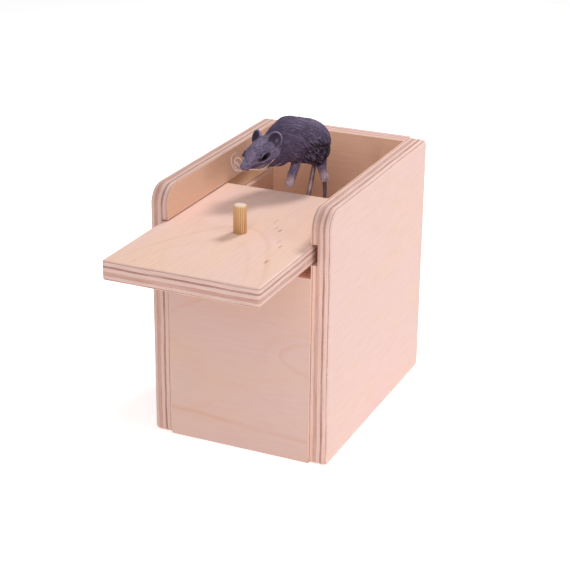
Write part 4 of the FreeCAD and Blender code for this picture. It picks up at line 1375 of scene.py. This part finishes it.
def bristle_plastic():
    """Pale, slightly clear plastic."""
    finish = Finish("whisker_plastic")
    cloud = finish.noise(finish.place_mm(), scale=1.5)
    finish.bump(cloud, 0.01, 0.4)
    finish.surface_is(
        finish.mix(finish.steps(cloud, 0.3, 0.7), linear(246, 228, 226), linear(222, 196, 194)),
        finish.steps(cloud, 0.3, 0.7, 0.22, 0.36), specular=0.5, transmission=0.2)
    return finish.material


class MOUSEBOX_OT_mouse_whiskers(bpy.types.Operator):
    """Set the mouse's pale bristles"""
    bl_idname = "mousebox.mouse_whiskers"
    bl_label = "Mouse Whiskers"

    def execute(self, context):
        new_piece("mouse_bristles", *bristles(), bristle_plastic(), "arm", "whisker_plastic",
                  ("mouse_whiskers",))
        return {"FINISHED"}


# Studio

FLOOR_HALF = 3.0

# Each light's setting, its size, and its place from the middle of the model.
LIGHTS = {
    "key_light": ("key_power", 0.35, (0.76, -0.06, 0.34)),
    "top_light": ("top_power", 0.17, (0.15, 0.54, 0.62)),
    "front_light": ("front_power", 0.6, (0.20, -0.70, 0.66)),
}
CAMERA_PLACE = Vector((0.2832, -0.6421, 0.3472))
SENSOR_MM = 36.0
NEAR_CLIP, FAR_CLIP = 0.01, 20.0
IMAGE_SIZE = 570
PICTURE_CENTRE_PX = (284.2, 284.5)


def make_floor(studio):
    half = FLOOR_HALF
    corners = [(-half, -half, 0), (half, -half, 0), (half, half, 0), (-half, half, 0)]
    mesh = bpy.data.meshes.new("studio_floor")
    mesh.from_pydata(corners, [], [(0, 1, 2, 3)])
    floor = bpy.data.objects.new("studio_floor", mesh)
    bpy.context.scene.collection.objects.link(floor)
    finish = Finish("studio_floor")
    finish.surface_is(studio.floor_colour, 0.9, specular=0.1, glow_colour=WHITE, glow=studio.floor_glow)
    mesh.materials.append(finish.material)
    floor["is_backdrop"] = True


def area_light(name, power, size, place, aim):
    lamp = bpy.data.lights.new(name, "AREA")
    lamp.energy = power
    lamp.size = size
    item = bpy.data.objects.new(name, lamp)
    item.location = place
    item.rotation_mode = "QUATERNION"
    item.rotation_quaternion = (aim - place).to_track_quat("-Z", "Y")
    bpy.context.scene.collection.objects.link(item)


def make_lights(studio):
    """Even light from all round, and the area lights."""
    world = bpy.data.worlds.new("studio_world")
    world.use_nodes = True
    background = world.node_tree.nodes["Background"]
    background.inputs["Color"].default_value = WHITE
    background.inputs["Strength"].default_value = studio.surroundings
    bpy.context.scene.world = world
    low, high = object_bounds()
    middle = Vector((low + high) / 2)
    for name, (setting, size, offset) in LIGHTS.items():
        area_light(name, getattr(studio, setting), size, middle + Vector(offset), middle)


def make_camera(studio):
    """Camera at the photograph's place and angle."""
    a, e, r = studio.azimuth, studio.elevation, studio.roll
    back = Vector((math.sin(a) * math.cos(e), -math.cos(a) * math.cos(e), math.sin(e)))
    level_right = (-back).cross(Vector((0, 0, 1))).normalized()
    level_up = level_right.cross(-back)
    right = level_right * math.cos(r) + level_up * math.sin(r)
    up = level_up * math.cos(r) - level_right * math.sin(r)
    data = bpy.data.cameras.new("studio_camera")
    data.sensor_width = SENSOR_MM
    data.lens = studio.focal_length
    data.clip_start, data.clip_end = NEAR_CLIP, FAR_CLIP
    data.shift_x = (IMAGE_SIZE / 2 - PICTURE_CENTRE_PX[0]) / IMAGE_SIZE
    data.shift_y = (PICTURE_CENTRE_PX[1] - IMAGE_SIZE / 2) / IMAGE_SIZE
    camera = bpy.data.objects.new("studio_camera", data)
    turn = Matrix((right, up, back)).transposed().to_4x4()
    camera.matrix_world = Matrix.Translation(CAMERA_PLACE) @ turn
    bpy.context.scene.collection.objects.link(camera)
    bpy.context.scene.camera = camera
    bpy.context.scene.view_settings.view_transform = "Standard"


class MOUSEBOX_OT_stage(bpy.types.Operator):
    """Lay the floor and set the lights and the camera"""
    bl_idname = "mousebox.stage"
    bl_label = "Studio"

    def execute(self, context):
        studio = context.scene.mouse_box_studio
        make_floor(studio)
        make_lights(studio)
        make_camera(studio)
        return {"FINISHED"}


SETTINGS = {
    "mouse_box_plywood": PlywoodSettings,
    "mouse_box_mouse": MouseSettings,
    "mouse_box_studio": StudioSettings,
}
OPERATORS = (
    MOUSEBOX_OT_panels, MOUSEBOX_OT_dowels, MOUSEBOX_OT_drive, MOUSEBOX_OT_mouse_skin,
    MOUSEBOX_OT_mouse_eyes, MOUSEBOX_OT_mouse_tail, MOUSEBOX_OT_mouse_whiskers, MOUSEBOX_OT_stage,
)


class MOUSEBOX_PT_sidebar(bpy.types.Panel):
    """Every step of the mouse box, with its settings"""
    bl_idname = "MOUSEBOX_PT_sidebar"
    bl_label = "Surprise Mouse Box"
    bl_space_type = "VIEW_3D"
    bl_region_type = "UI"
    bl_category = "Mouse Box"

    def draw(self, context):
        for operator in OPERATORS:
            self.layout.operator(operator.bl_idname)
        for name, group in SETTINGS.items():
            section = self.layout.box()
            for setting in group.__annotations__:
                section.prop(getattr(context.scene, name), setting)


def register():
    for item in (*SETTINGS.values(), *OPERATORS, MOUSEBOX_PT_sidebar):
        bpy.utils.register_class(item)
    for name, group in SETTINGS.items():
        setattr(bpy.types.Scene, name, PointerProperty(type=group))


def unregister():
    for name in SETTINGS:
        delattr(bpy.types.Scene, name)
    for item in reversed((*SETTINGS.values(), *OPERATORS, MOUSEBOX_PT_sidebar)):
        bpy.utils.unregister_class(item)


def main():
    register()
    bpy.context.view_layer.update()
    for operator in OPERATORS:
        group, name = operator.bl_idname.split(".")
        getattr(getattr(bpy.ops, group), name)()


if __name__ == "__main__":
    main()
